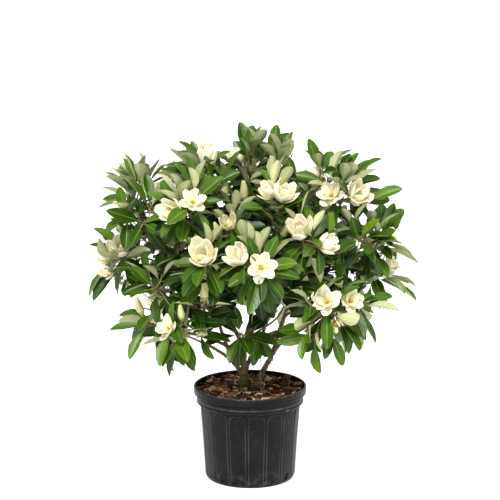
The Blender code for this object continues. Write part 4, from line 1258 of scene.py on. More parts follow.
# Gaps in the crown that stay open: x, z and radius on the upright plane through the pot's middle, seen from
# the camera, and the shares of a leaf's length at which it has to keep out of them
OPENINGS = (
    (-0.309, 0.466, 0.021), (0.337, 0.412, 0.035), (0.365, 0.714, 0.027), (-0.260, 0.287, 0.029),
    (-0.337, 0.732, 0.014), (0.137, 0.806, 0.024), (-0.368, 0.676, 0.021), (0.283, 0.663, 0.014),
    (0.126, 0.833, 0.024), (0.388, 0.541, 0.017), (0.376, 0.474, 0.015), (0.396, 0.610, 0.024),
    (0.372, 0.640, 0.018), (-0.160, 0.880, 0.016), (-0.279, 0.455, 0.024),
    (0.372, 0.547, 0.026), (0.283, 0.608, 0.014), (0.277, 0.825, 0.020), (-0.233, 0.298, 0.016),
    (0.180, 0.862, 0.030), (-0.250, 0.310, 0.020), (-0.253, 0.435, 0.018), (0.263, 0.594, 0.017),
    (0.301, 0.483, 0.018), (0.323, 0.574, 0.014), (0.203, 0.533, 0.016), (-0.241, 0.573, 0.015),
    (-0.199, 0.605, 0.015), (-0.254, 0.518, 0.015), (0.256, 0.523, 0.014), (-0.214, 0.470, 0.014),
    (-0.303, 0.650, 0.014), (-0.217, 0.500, 0.014), (0.077, 0.572, 0.014), (-0.076, 0.704, 0.014),
    (-0.075, 0.325, 0.016), (0.037, 0.326, 0.014), (-0.345, 0.700, 0.016), (0.112, 0.868, 0.014),
    (-0.350, 0.672, 0.018),
)
GAP_SHARES = (0.45, 0.75)
# Buds that no leaf may hide
CLEAR_BUDS = ((8, -6, 796), (-111, -192, 522), (-15, -84, 746))
CLEAR_RADIUS = 0.020
CLEAR_SHARES = (0.25, 0.45, 0.75, 1.0)
# Fine twigs: where they start on a shoot, a bough and a stem, how far apart they are, and their size
FINE_ROUNDS = 2
FINE_FROM = 0.012
FINE_BELOW_TIP = 0.034
BARE_BOUGH_SHARE = 0.30
BARE_STEM_SHARE = 0.52
FINE_APART = 0.017
FINE_LENGTHS = (0.030, 0.066)
FINE_RADII = (0.0016, 0.0012)
FINE_LEAVES = (4, 5, 6, 7)
FINE_SIZE = 0.66
FINE_LOWEST = 0.480
# How far from its shoot's way the first and the last leaf of a spiral point, in degrees
SPREADS = {
    ("vegetative", "upright"): (12, 84),
    ("flowering", "upright"): (36, 94),
    ("vegetative", "leaning"): (20, 104),
    ("flowering", "leaning"): (54, 108),
    ("young", "upright"): (20, 56),
    ("young", "leaning"): (34, 66),
}
# Turns round the shoot and down from it, in degrees, that a leaf tries one after another
LEAF_TURNS = ((0, 0), (0, 14), (0, -14), (16, 0), (-16, 0), (22, 16), (-22, 16), (32, -8), (-32, -8), (0, 30))
STALK_SHARE = 0.19
STALK_RADII = (0.0125, 0.0085)
# A leaf is longer than wide, so its stalk is widened to come out round
STALK_WIDENED = 2.6
BLADE_WIDTH_SHARE = 0.90
BLADE_THICKNESS = 0.0055
RIB_HALF = 0.030
FOOT_HALF = 0.034
NARROWEST = 0.03
SLIM = 0.34
LEAF_ROWS = (0.0, 0.13, 0.35, 0.60, 0.82, 0.95, 1.0)
LEAF_COLUMNS = (-1.0, -0.54, -0.055, 0.055, 0.54, 1.0)
LEAF_GREENS = (
    (0.012, 0.035, 0.001), (0.022, 0.061, 0.001), (0.037, 0.092, 0.001), (0.057, 0.126, 0.002),
    (0.084, 0.166, 0.003), (0.132, 0.226, 0.008),
)
LEAF_SAGES = ((0.470, 0.490, 0.272), (0.610, 0.632, 0.368))


def leaf_outline():
    """The space that one leaf of unit length and width takes: a folded, drooping lens."""
    bm = bmesh.new()
    for side in (1, -1):
        bmesh.ops.create_cone(
            bm, cap_ends=False, segments=4, radius1=1, radius2=0, depth=1,
            matrix=Matrix.Diagonal((1, 1, side, 1)) @ Matrix.Translation((0, 0, 0.5))
        )
    bmesh.ops.remove_doubles(bm, verts=bm.verts, dist=1e-4)
    for vert in bm.verts:
        if math.hypot(vert.co.x, vert.co.y) > 0.5:
            turn = math.atan2(vert.co.x, vert.co.y)
            along = 0.5 + 0.5 * math.cos(turn)
            vert.co = (0.56 * math.sin(turn), along, LEAF_FOLD * abs(math.sin(turn)) - LEAF_DROOP * along**2)
        else:
            vert.co = (0, 0.5, math.copysign(CLEAR_THICKNESS_SHARE / 2, vert.co.z) - LEAF_DROOP * 0.2)
    return mesh_of("leaf_space", bm)


def rosette(limb, count, seed, growth, stretch):
    """Number, root, direction, face, length and width of the leaves that spiral down from a shoot's tip."""
    rng = random.Random(seed)
    turn = rng.uniform(0, math.tau)
    upright = "upright" if stands_up(limb) else "leaning"
    narrow, wide = SPREADS[growth, upright]
    for i in range(count):
        share = (i + 0.5) / count
        point, way, _ = limb.at(limb.length - BEARING_STRETCH[0] - stretch * share)
        spread = math.radians(narrow + (wide - narrow) * share**0.8 + rng.uniform(-8, 8))
        turn += GOLDEN_ANGLE + rng.uniform(-0.16, 0.16)
        side = way.orthogonal().normalized()
        side = Matrix.Rotation(turn, 3, way) @ side
        blade = way * math.cos(spread) + side * math.sin(spread)
        blade.z -= 0.02 + 0.20 * share
        blade.normalize()
        face = way * 0.7 + Vector((0, 0, 0.5))
        face = (face - blade * face.dot(blade)).normalized()
        twist = rng.uniform(-0.4, 0.4) * (YOUNG_TWIST if growth == "young" else 1.0)
        face = Matrix.Rotation(twist, 3, blade) @ face
        size = 0.86 + 0.18 * min(1.0, share * 1.7) - 0.32 * max(0.0, share - 0.75) + rng.uniform(-0.06, 0.06)
        width = LEAF_WIDTH * (0.55 + 0.45 * size) * rng.uniform(0.92, 1.1)
        yield i, point, blade, face, LEAF_LENGTH * size, width


def leaf_matrix(root, blade, face, length, width):
    """Places a leaf of unit length and width at its root, along its blade, with its upper side to face."""
    side = blade.cross(face)
    return placed((side * width, blade * length, face * length, root - blade * ROOT_SINK))


def leaf_fits(mass, tip, root, blade, face, length, width):
    """True where a leaf would touch no other mass, and no leaf of its own past its root."""
    wider = leaf_matrix(root, blade, face, length * 1.02, width * 1.08)
    outer = leaf_matrix(root + blade * ROOT_ZONE, blade, face, length - ROOT_ZONE, width)
    near = (root + blade * length - tip).length < REACH
    if not near or not space.is_free((mass.name,), *shell_of(leaf_space, wider)):
        return False
    return mass.own.is_free((), *shell_of(leaf_space, outer))


def crown_share(point):
    """How far out in the crown a point is: nought in the middle, one at the skin."""
    middle, half = CROWN
    return Vector([(point[k] - middle[k]) / half[k] for k in range(3)]).length


def size_share(root, blade, length):
    """Leaves inside the crown and those that hang low over the pot stay smaller than the ones at its skin."""
    tip = root + blade * length
    inner = INNER_SHRINK * smooth_step(*CROWN_SKIN, crown_share(tip)) * smooth_step(*INNER_HEIGHTS, tip.z)
    low = LOW_SHRINK * smooth_step(*LOW_LEAVES, tip.z) * smooth_step(*LOW_ASIDE, abs(tip.x))
    return SHORTER * (1.0 - inner) * (1.0 - low)


def from_front(point):
    """Where a point falls on the upright plane through the pot's middle, as seen from the front."""
    eye = camera.location
    reach = eye.y / (eye.y - point.y)
    return point.x * reach, eye.z + (point.z - eye.z) * reach


def fills_gap(point):
    """True where a point hides one of the crown's open gaps from the front."""
    x, z = from_front(point)
    return any(math.hypot(x - gap_x, z - gap_z) < radius for gap_x, gap_z, radius in OPENINGS)


def hides_bud(point):
    """True where a point stands in front of a bud that stays clear."""
    x, z = from_front(point)
    for bud, (bud_x, bud_z) in clear_buds:
        if point.y < bud.y and math.hypot(x - bud_x, z - bud_z) < CLEAR_RADIUS:
            return True
    return False


def blocks_view(root, blade, length):
    """True where a leaf would fill a gap that shows the sky from the front, or would hide a clear bud."""
    if any(fills_gap(root + blade * length * share) for share in GAP_SHARES):
        return True
    return any(hides_bud(root + blade * length * share) for share in CLEAR_SHARES)


def grow_leaves(mass, shoots, wanted, size=1.0, stretch=BEARING_STRETCH[1]):
    """Sets the wanted leaves of each shoot; one that would touch something turns aside, or is left out."""
    for number, (limb, count, spiral, growth) in shoots:
        tip = limb.points[-1]
        way = limb.at(limb.length)[1]
        seed = f"{mass.name} {number} {spiral}"
        for i, root, blade, face, length, width in rosette(limb, count, seed, growth, stretch):
            if not wanted(i):
                continue
            length, width = length * size, width * size ** (1.3 if growth == "young" else 0.6)
            for around, down in LEAF_TURNS:
                lift = Matrix.Rotation(math.radians(down), 3, way.cross(blade).normalized())
                swing = Matrix.Rotation(math.radians(around), 3, way) @ lift
                new_blade, new_face = swing @ blade, swing @ face
                if blocks_view(root, new_blade, length):
                    continue
                if leaf_fits(mass, tip, root, new_blade, new_face, length, width):
                    set_leaf(mass, number, i / count, root, new_blade, new_face, length, width)
                    break


def set_leaf(mass, shoot, age, root, blade, face, length, width):
    """Keeps a leaf and fills its space; a full-grown one is drawn in a little first."""
    if length > LEAF_LENGTH * FULL_GROWN_SHARE:
        share = size_share(root, blade, length)
        length, width = length * share, width * (0.3 + 0.7 * share)
    outer = leaf_matrix(root + blade * ROOT_ZONE, blade, face, length - ROOT_ZONE, width)
    space.add(mass.name, *shell_of(leaf_space, leaf_matrix(root, blade, face, length, width)))
    mass.own.add(mass.name, *shell_of(leaf_space, outer))
    leaves.append((mass.name, shoot, age, leaf_matrix(root, blade, face, length, width)))


def every(i):
    """Wants each leaf of a shoot, whatever its number."""
    return True


# The leaves that matter most for the outline go first: new growth, upright late shoots, two in three leaves
# of the shoots that the solids have, the third ones, and then the low late shoots
leaf_space = leaf_outline()
clear_buds = [(bud, from_front(bud)) for bud in map(real, CLEAR_BUDS)]
leaves = []
first_shoots = {}
tall_shoots = {}
low_shoots = {}
for name, mass in masses.items():
    numbered = list(enumerate(mass.shoots))
    late = numbered[set_shoots[name] :]
    first_shoots[name] = numbered[: set_shoots[name]]
    tall_shoots[name] = [(number, (*shoot[:3], "young")) for number, shoot in late if stands_up(shoot[0])]
    low_shoots[name] = [(number, shoot) for number, shoot in late if not stands_up(shoot[0])]
for mass in masses.values():
    grow_leaves(mass, enumerate(mass.fresh, FRESH_SPRAYS), every, YOUNG_SIZE, YOUNG_STRETCH)
for name, mass in masses.items():
    grow_leaves(mass, tall_shoots[name], every, LATE_SIZE)
for name, mass in masses.items():
    grow_leaves(mass, first_shoots[name], lambda i: i % 3 != 2)
for name, mass in masses.items():
    grow_leaves(mass, first_shoots[name], lambda i: i % 3 == 2)
for name, mass in masses.items():
    grow_leaves(mass, low_shoots[name], every, LATE_SIZE)


# Sprout: a thin bare stalk with one small round leaf at its tip. It stands in the mulch beside the foot of
# the right stem, and is drawn with the fine twigs.
SPROUT = ((0.028, -0.030, 0.228), (0.025, -0.028, 0.290), (0.031, -0.032, 0.352))
SPROUT_LEAF = (0.034, 0.030)
sprout = Limb([Vector(spot) for spot in SPROUT], (0.0012, 0.0009))
sprout_tip = sprout.points[-1] - Vector((0, 0, 0.001))
sprout_blade = Vector((0.30, -0.25, -0.55)).normalized()
sprout_face = sprout_blade.cross(Vector((1, 0.2, 0))).normalized()
sprout_leaf = leaf_matrix(sprout_tip, sprout_blade, sprout_face, *SPROUT_LEAF)
masses["foliage_low_front"].fine.append((sprout, 0, 0, "vegetative"))
leaves.append(("foliage_low_front", SPROUT_SPRAY, 0.9, sprout_leaf))


# Young tufts: the newest leaves are smaller, still stand up round the tips of the upper shoots, and show
# their pale undersides.
for mass in masses.values():
    tufts = []
    for number, (limb, count, _, growth) in enumerate(mass.shoots):
        tip, way, _ = limb.at(limb.length)
        if way.z > YOUNG_RISE and tip.z > YOUNG_LOWEST:
            tufts.append((TUFT_SPRAYS + number, (limb, YOUNG_LEAVES[growth], 1, "young")))
    grow_leaves(mass, tufts, every, YOUNG_SIZE, YOUNG_STRETCH)


# Fine twigs: the shoots, the outer parts of the boughs and the tops of the stems bear thin twigs with a few
# smaller leaves each. They grow in two rounds, the second where the first has left room.
def fine_twigs(mass, owner, limb, first, last, seed):
    """Twigs that leave a limb in a spiral, from the first run up it to the last, and turn up."""
    rng = random.Random(f"fine {mass.name} {owner} {seed}")
    turn = rng.uniform(0, math.tau)
    run = first + rng.uniform(0, FINE_APART)
    while run < last:
        point, way, parent_radius = limb.at(run)
        run += FINE_APART * rng.uniform(0.8, 1.3)
        turn += GOLDEN_ANGLE
        side = Matrix.Rotation(turn, 3, way) @ way.orthogonal().normalized()
        length = rng.uniform(*FINE_LENGTHS)
        out = (way * 0.5 + side).normalized()
        rise = (way * 0.25 + side * 0.35 + Vector((0, 0, 0.9))).normalized()
        tip = point + (out + rise).normalized() * length
        if tip.z < FINE_LOWEST:
            continue
        twig = Limb(bend(point, out, tip, rise, 3), FINE_RADII)
        if mass.take_twig((mass.name, owner), twig, parent_radius):
            mass.fine.append((twig, rng.choice(FINE_LEAVES), 0, "vegetative"))


for fine_round in range(FINE_ROUNDS):
    grown = {name: len(mass.fine) for name, mass in masses.items()}
    for name, (parent, share, bough, _) in rows.items():
        mass = masses[name]
        bearers = [(name, limb, FINE_FROM, limb.length - FINE_BELOW_TIP) for limb, _, _, _ in mass.shoots]
        if bough:
            length = limbs[bough].length
            bearers.append((bough, limbs[bough], length * BARE_BOUGH_SHARE, length))
        if share >= 1:
            length = limbs[parent].length
            bearers.append((parent, limbs[parent], length * BARE_STEM_SHARE, length))
        for owner, limb, start, end in bearers:
            fine_twigs(mass, owner, limb, start, end, fine_round)
    for name, mass in masses.items():
        newest = enumerate(mass.fine[grown[name] :], FINE_SPRAYS + grown[name])
        grow_leaves(mass, newest, every, FINE_SIZE, FINE_STRETCH)


def leaf_shape(droop, wave, twist):
    """One leaf of unit length and width: a grid drawn in to the leaf's outline, thickened, on its stalk.

    It is thickened while it is slim, so that its edge comes out as thick as its blade. Its materials are the
    upper side, the midrib, the underside, the margin and the stalk.
    """
    bm = bmesh.new()
    bm.loops.layers.uv.new("leaf")
    across, along = len(LEAF_COLUMNS) - 1, len(LEAF_ROWS) - 1
    bmesh.ops.create_grid(bm, x_segments=across, y_segments=along, size=0.5, calc_uvs=True)
    for vert in bm.verts:
        column = round((vert.co.x + 0.5) * across)
        t = LEAF_ROWS[round((vert.co.y + 0.5) * along)]
        swell = math.pi * t**1.10
        half = 0.5 * BLADE_WIDTH_SHARE * max(math.sin(swell), 0.0) ** (0.85 if swell < math.pi / 2 else 0.58)
        rib = LEAF_COLUMNS[column]
        if abs(rib) < 0.1:
            x = math.copysign(RIB_HALF * (1 - 0.75 * t), rib)
        elif half < NARROWEST:
            x = math.copysign(FOOT_HALF * (1 - 0.70 * t), rib)
        else:
            x = rib * half
        along_leaf = STALK_SHARE + (1 - STALK_SHARE) * t
        lift = BLADE_FOLD * (abs(x) / 0.5) ** 1.1
        ripple = wave * math.sin(t * 8.3 + (2.1 if x > 0 else 0.0)) * (abs(x) / 0.5) ** 2
        turn = twist * (t - 0.3) * x
        vert.co = (x, along_leaf, lift + ripple + turn - droop * along_leaf**2)
    upper = {face: abs(face.calc_center_median().x) < 0.02 for face in bm.faces}
    for face, is_rib in upper.items():
        face.material_index = 1 if is_rib else 0
    for vert in bm.verts:
        vert.co.x *= SLIM
    bmesh.ops.recalc_face_normals(bm, faces=bm.faces)
    if sum(face.normal.z for face in bm.faces) < 0:
        bmesh.ops.reverse_faces(bm, faces=bm.faces)
    bmesh.ops.solidify(bm, geom=bm.faces[:], thickness=BLADE_THICKNESS)
    bm.normal_update()
    for face in bm.faces:
        if face not in upper:
            face.material_index = 2 if abs(face.normal.z) > 0.6 else 3
    for edge in bm.edges:
        sides = {face.material_index for face in edge.link_faces if face.material_index != 1}
        edge.smooth = len(sides) < 2
    for vert in bm.verts:
        vert.co.x /= SLIM
    stalk = Matrix.Translation((0, STALK_SHARE * 0.55, -0.004)) @ Matrix.Rotation(-math.pi / 2, 4, "X")
    first = len(bm.faces)
    add_cone(bm, 5, STALK_RADII, STALK_SHARE * 1.10, Matrix.Diagonal((STALK_WIDENED, 1, 1, 1)) @ stalk)
    bm.faces.ensure_lookup_table()
    for face in bm.faces[first:]:
        face.material_index = 4
    bmesh.ops.recalc_face_normals(bm, faces=bm.faces)
    mesh = mesh_of("leaf", bm)
    mesh.shade_smooth()
    return mesh


def toned(colour, share):
    """A darker or brighter tone of a colour."""
    return tuple(value * share for value in colour)


def leaf_lines(place):
    """How far a point of a leaf is from its midrib, in leaf widths, and the wave of its side veins."""
    uv = place.add("ShaderNodeUVMap", {"uv_map": "leaf"}, {})
    across = uv.add("ShaderNodeSeparateXYZ", {}, {"Vector": uv}, "X")
    along = uv.add("ShaderNodeSeparateXYZ", {}, {"Vector": uv}, "Y")
    off_rib = across.math("ABSOLUTE", across - 0.5, 0.0)
    slant = along * 62.0 - off_rib * 34.0
    return off_rib, slant.math("SINE", slant, 0.0)


def leaf_upper(name, colour):
    """Glossy green with a cloudy tone and paler side veins."""
    material, shader, place = new_finish(name, Specular_IOR_Level=0.40)
    vein = between(leaf_lines(place)[1], 0.62, 1.0)
    cloud = grain(place, 38.0, 4.0)
    fine = grain(place, 260.0, 3.0)
    tone = mixed(between(cloud, 0.34, 0.68), toned(colour, 0.74), colour)
    tone = mixed(vein * 0.22, tone, (colour[0] * 2.0, colour[1] * 1.5, colour[2] * 1.8))
    feed(shader, "Base Color", tone)
    feed(shader, "Roughness", 0.25 + cloud * 0.14 + fine * 0.08)
    rough_surface(shader, fine * 0.5 - vein * 0.5, 0.0006, 0.7)
    return material


def leaf_plain(name, colour, roughness):
    """The same cloudy tone for the midrib, the margin or the stalk."""
    material, shader, place = new_finish(name, Specular_IOR_Level=0.3)
    cloud = grain(place, 90.0, 3.0)
    feed(shader, "Base Color", mixed(cloud, toned(colour, 0.86), colour))
    feed(shader, "Roughness", roughness + cloud * 0.14)
    rough_surface(shader, grain(place, 420.0, 2.0), 0.0003, 0.5)
    return material


def leaf_under(name, colour):
    """Dull silvery sage, darker towards the margin as painted shade, with faint side veins and a yellower
    midrib.
    """
    material, shader, place = new_finish(name, Specular_IOR_Level=0.3)
    off_rib, vein = leaf_lines(place)
    cloud = grain(place, 90.0, 3.0)
    tone = mixed(cloud, toned(colour, 0.84), colour)
    # Painted shade: the underside is darker towards the margin
    tone = mixed(between(off_rib, 0.10, 0.50, 0.0, 0.55), tone, toned(colour, 0.66))
    tone = mixed(between(vein, 0.5, 1.0, 0.0, 0.22), tone, toned(colour, 1.25))
    tone = mixed(between(off_rib, 0.14, 0.10), tone, (0.520, 0.545, 0.270))
    feed(shader, "Base Color", tone)
    feed(shader, "Roughness", 0.58 + cloud * 0.14)
    rough_surface(shader, grain(place, 420.0, 2.0) * 0.5 + vein * 0.5, 0.0005, 0.5)
    return material


greens = [leaf_upper(f"leaf_green_{k + 1}", colour) for k, colour in enumerate(LEAF_GREENS)]
sages = [leaf_under(f"leaf_sage_{k + 1}", colour) for k, colour in enumerate(LEAF_SAGES)]
leaf_rib = leaf_plain("leaf_midrib", (0.190, 0.290, 0.070), 0.45)
leaf_margin = leaf_plain("leaf_margin", (0.150, 0.250, 0.060), 0.45)
leaf_stalk = leaf_plain("leaf_stalk", (0.340, 0.310, 0.120), 0.50)
leaf_finishes = greens + sages + [leaf_rib, leaf_margin, leaf_stalk]
RIB, MARGIN, STALK = (len(greens) + len(sages) + k for k in range(3))

# Droop, wave and twist of each form of leaf
LEAF_FORMS = ((0.12, 0.012, 0.10), (0.07, 0.018, -0.14), (0.19, 0.010, 0.04), (0.14, 0.020, -0.05))
leaf_forms = [leaf_shape(*form) for form in LEAF_FORMS]


def painted(mesh, green, sage):
    """A copy of a leaf with the finishes of one spray."""
    copy = mesh.copy()
    finishes = (green, RIB, len(greens) + sage, MARGIN, STALK)
    for polygon in copy.polygons:
        polygon.material_index = finishes[polygon.material_index]
    return copy


painted_leaves = {}
for form, mesh in enumerate(leaf_forms):
    for green in range(len(greens)):
        for sage in range(len(sages)):
            painted_leaves[form, green, sage] = painted(mesh, green, sage)

LEAVES_A_PIECE = 480
NEWEST_GREEN = 3.4
AGEING = 1.8
INNER_PAINTED_SHADE = 1.6
rng = random.Random("leaf colours")
spray_tint = {}
leaf_order = sorted(range(len(leaves)), key=lambda k: leaves[k][0])
for first in range(0, len(leaf_order), LEAVES_A_PIECE):
    group = leaf_order[first : first + LEAVES_A_PIECE]
    leaves_bm = bmesh.new()
    leaves_bm.loops.layers.uv.new("leaf")
    for k in group:
        mass_name, shoot, age, matrix = leaves[k]
        tint = spray_tint.setdefault((mass_name, shoot), rng.uniform(-0.8, 0.8))
        # Leaves deep inside the crown take darker greens: painted shade for the light that the outer leaves
        # keep from them
        shade = INNER_PAINTED_SHADE * smooth_step(0.95, 0.45, crown_share(matrix @ Vector((0, 0.6, 0))))
        green = NEWEST_GREEN - AGEING * age - shade + tint + rng.uniform(-0.9, 0.9)
        green = round(min(max(green, 0), len(greens) - 1))
        sage = rng.randrange(len(sages))
        add_copy(leaves_bm, painted_leaves[rng.randrange(len(leaf_forms)), green, sage], matrix, 0)
    number = first // LEAVES_A_PIECE + 1
    foliage = made(f"leaves_{number}", leaves_bm, *leaf_finishes)
    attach(foliage, "root")
    if first == 0:
        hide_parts(*masses)


# Twigs: the last year's growth, smooth and tan-olive, with a low ring where each leaf has stood. A main shoot
# runs on from its bough or stem, and the side shoots leave it a little below its tip.
def shoot_run(limb):
    """A shoot's centre line and radii close together, with a low ring at each node."""
    route = Limb(smooth_route(limb.points, 4), (1.0, 1.0))
    count = max(4, round(route.length / 0.004))
    points, radii = [], []
    for k in range(count + 1):
        run = route.length * k / count
        ring = 1 + 0.10 * max(0.0, math.cos(run / 0.0062 * math.tau)) ** 6
        points.append(route.at(run)[0])
        radii.append(limb.at(limb.length * k / count)[2] * 0.92 * ring)
    return points, radii


def young_bark():
    """Smooth tan-olive bark with pale flecks."""
    material, shader, place = new_finish("bark_young", Specular_IOR_Level=0.35)
    cloud = grain(place, 60.0, 4.0)
    fleck = grain(place, 520.0, 3.0)
    tone = mixed(between(cloud, 0.36, 0.64), (0.150, 0.120, 0.055), (0.250, 0.215, 0.095))
    tone = mixed(between(fleck, 0.58, 0.72, 0.0, 0.5), tone, (0.33, 0.29, 0.19))
    feed(shader, "Base Color", tone)
    feed(shader, "Roughness", 0.52 + fleck * 0.2)
    rough_surface(shader, fleck, 0.0005)
    return material


twig_runs = []
for mass in masses.values():
    twig_runs += [shoot_run(limb) for limb, _, _, _ in mass.shoots + mass.fresh + mass.fine]
twigs = made("twigs", swept(twig_runs, 8), young_bark())
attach(twigs, "root")


# Blossom: each flower has about nine thick, cream petals in three rings round a green cone in a ring of
# golden stamens. The buds are still closed and greenish, and the spent ones hang limp and beige.
PETAL_ROWS = 7
PETAL_COLUMNS = 4
PETAL_THICKNESS = 0.018
WIDEST = 0.58
# How far from a flower's middle a petal's foot and its warmer part reach
FOOT_REACH = 0.30
WARM_REACH = 0.52
# Stamens in two rings: their number, how far each ring leans, and their radii and length
STAMENS = 26
STAMEN_LEANS = (1.05, 0.62)
STAMEN_RADII = (0.020, 0.012)
STAMEN_LENGTH = 0.22
CONE_RADIUS = 0.085
CALYX_RADII = (0.050, 0.105)
CALYX_HEIGHT = 0.16
PETAL, PETAL_FOOT, CONE, STAMEN, CALYX, PETAL_WARM = range(6)
# Rings of petals: number, first one's turn in degrees, path as radius and height from the foot over a handle
# to the tip, width and hollow
PETAL_PATHS = {
    "open": (
        (3, 0, ((0.05, 0.04), (0.60, -0.04), (1.06, 0.44)), 0.84, 0.66),
        (3, 60, ((0.05, 0.06), (0.54, 0.10), (0.98, 0.74)), 0.80, 0.60),
        (3, 25, ((0.04, 0.08), (0.42, 0.22), (0.62, 0.96)), 0.64, 0.48),
    ),
    "half": (
        (3, 0, ((0.05, 0.03), (0.62, 0.10), (0.66, 0.88)), 0.76, 0.52),
        (3, 60, ((0.05, 0.05), (0.50, 0.22), (0.50, 1.00)), 0.72, 0.46),
        (3, 20, ((0.04, 0.06), (0.34, 0.34), (0.24, 0.98)), 0.56, 0.36),
    ),
    "cup": (
        (3, 0, ((0.05, 0.02), (0.58, 0.16), (0.38, 0.92)), 0.72, 0.42),
        (3, 60, ((0.04, 0.04), (0.46, 0.30), (0.22, 1.00)), 0.66, 0.36),
        (3, 30, ((0.03, 0.06), (0.30, 0.40), (0.06, 0.96)), 0.48, 0.26),
    ),
    "bud": (
        (3, 0, ((0.04, 0.02), (0.34, 0.22), (0.03, 1.00)), 0.44, 0.21),
        (3, 60, ((0.03, 0.04), (0.29, 0.26), (0.02, 0.98)), 0.40, 0.19),
    ),
    "spent": (
        (3, 0, ((0.05, 0.02), (0.46, 0.10), (0.42, 0.84)), 0.52, 0.50),
        (2, 75, ((0.05, 0.04), (0.38, 0.34), (0.20, 0.90)), 0.44, 0.40),
    ),
}


def petal_sheet(bm, path, width, hollow, turn, rng, limp):
    """One petal of a unit flower: a grid bent along a path, cupped across it and thickened."""
    part = bmesh.new()
    part.loops.layers.uv.new("petal")
    bmesh.ops.create_grid(part, x_segments=PETAL_COLUMNS, y_segments=PETAL_ROWS, size=0.5, calc_uvs=True)
    (r0, z0), (r1, z1), (r2, z2) = path
    reach = rng.uniform(0.93, 1.05)
    r2, z2 = r0 + (r2 - r0) * reach + rng.uniform(-0.05, 0.05) * limp, z0 + (z2 - z0) * reach
    for vert in part.verts:
        u, t = vert.co.x * 2, 1 - (0.5 - vert.co.y) ** 1.5
        r = (1 - t) ** 2 * r0 + 2 * t * (1 - t) * r1 + t * t * r2
        z = (1 - t) ** 2 * z0 + 2 * t * (1 - t) * z1 + t * t * z2
        outward = 2 * (1 - t) * (r1 - r0) + 2 * t * (r2 - r1)
        upward = 2 * (1 - t) * (z1 - z0) + 2 * t * (z2 - z1)
        slope = Vector((outward, 0, upward)).normalized()
        inward = Vector((-slope.z, 0, slope.x))
        if t > WIDEST:
            narrowed = ((t - WIDEST) / 0.42) ** 2
        else:
            narrowed = ((WIDEST - t) / WIDEST) ** 1.6 * 0.72
        half = width * 0.5 * max(0.14, 1 - narrowed) ** 0.5
        curl = half / hollow * u
        wrinkle = limp * 0.035 * math.sin(t * 9 + u * 3 + turn)
        side = math.sin(curl) * hollow
        lift = (1 - math.cos(curl)) * hollow + wrinkle
        vert.co = Vector((r, 0, z)) + inward * lift + Vector((0, side, 0))
    bmesh.ops.recalc_face_normals(part, faces=part.faces)
    bmesh.ops.solidify(part, geom=part.faces[:], thickness=PETAL_THICKNESS)
    bmesh.ops.recalc_face_normals(part, faces=part.faces)
    for face in part.faces:
        middle = face.calc_center_median()
        from_foot = math.hypot(middle.x, middle.z)
        if from_foot < FOOT_REACH:
            face.material_index = PETAL_FOOT
        elif from_foot < WARM_REACH:
            face.material_index = PETAL_WARM
        face.smooth = True
    bmesh.ops.rotate(part, verts=part.verts, cent=(0, 0, 0), matrix=Matrix.Rotation(turn, 3, "Z"))
    mesh = mesh_of("petal", part)
    bm.from_mesh(mesh)
    bpy.data.meshes.remove(mesh)


def mark_new(bm, known, material):
    """Gives a finish to the faces that aren't among the known ones, and adds them to these."""
    for face in bm.faces:
        if face not in known:
            face.material_index = material
            face.smooth = True
            known.add(face)


def flower_shape(stage, seed):
    """One flower of unit height on +Z: rings of petals, the cone, its stamens and the swelling under them."""
    rng = random.Random(f"{stage} {seed}")
    bm = bmesh.new()
    bm.loops.layers.uv.new("petal")
    limp = 1.0 if stage == "spent" else 0.35
    for count, start, path, width, hollow in PETAL_PATHS[stage]:
        for k in range(count):
            turn = math.radians(start + 360 / count * k + rng.uniform(-9, 9))
            petal_sheet(bm, path, width * rng.uniform(0.92, 1.06), hollow, turn, rng, limp)
    known = set(bm.faces)
    add_cone(bm, 8, CALYX_RADII, CALYX_HEIGHT, Matrix.Identity(4))
    mark_new(bm, known, CALYX)
    if stage in ("open", "half", "spent"):
        bmesh.ops.create_uvsphere(
            bm, u_segments=8, v_segments=6, radius=CONE_RADIUS,
            matrix=Matrix.Translation((0, 0, 0.26)) @ Matrix.Diagonal((1, 1, 2.0, 1))
        )
        mark_new(bm, known, CONE)
        for k in range(STAMENS):
            ring = k // (STAMENS // 2)
            turn = math.tau * k / (STAMENS // 2) + ring * 0.24
            lean = STAMEN_LEANS[ring] + rng.uniform(-0.12, 0.12)
            foot = Matrix.Rotation(turn, 4, "Z") @ Matrix.Translation((0.05, 0, 0.08))
            out = foot @ Matrix.Rotation(lean, 4, "Y") @ Matrix.Translation((0, 0, STAMEN_LENGTH / 2))
            add_cone(bm, 4, STAMEN_RADII, STAMEN_LENGTH, out)
        mark_new(bm, known, STAMEN)
    return mesh_of("flower", bm)


def petal_finish(name, colour, roughness=0.52):
    """Waxy and a little translucent, in a cloudy tone."""
    material, shader, place = new_finish(
        name, Specular_IOR_Level=0.35, Subsurface_Weight=0.5, Subsurface_Scale=0.004,
        Subsurface_Radius=(1.0, 1.0, 1.0)
    )
    cloud = grain(place, 120.0, 3.0)
    warm = (colour[0] * 0.99, colour[1] * 0.965, colour[2] * 0.88)
    feed(shader, "Base Color", mixed(between(cloud, 0.35, 0.70), colour, warm))
    feed(shader, "Roughness", roughness + cloud * 0.12)
    rough_surface(shader, grain(place, 340.0, 3.0), 0.0004, 0.6)
    return material


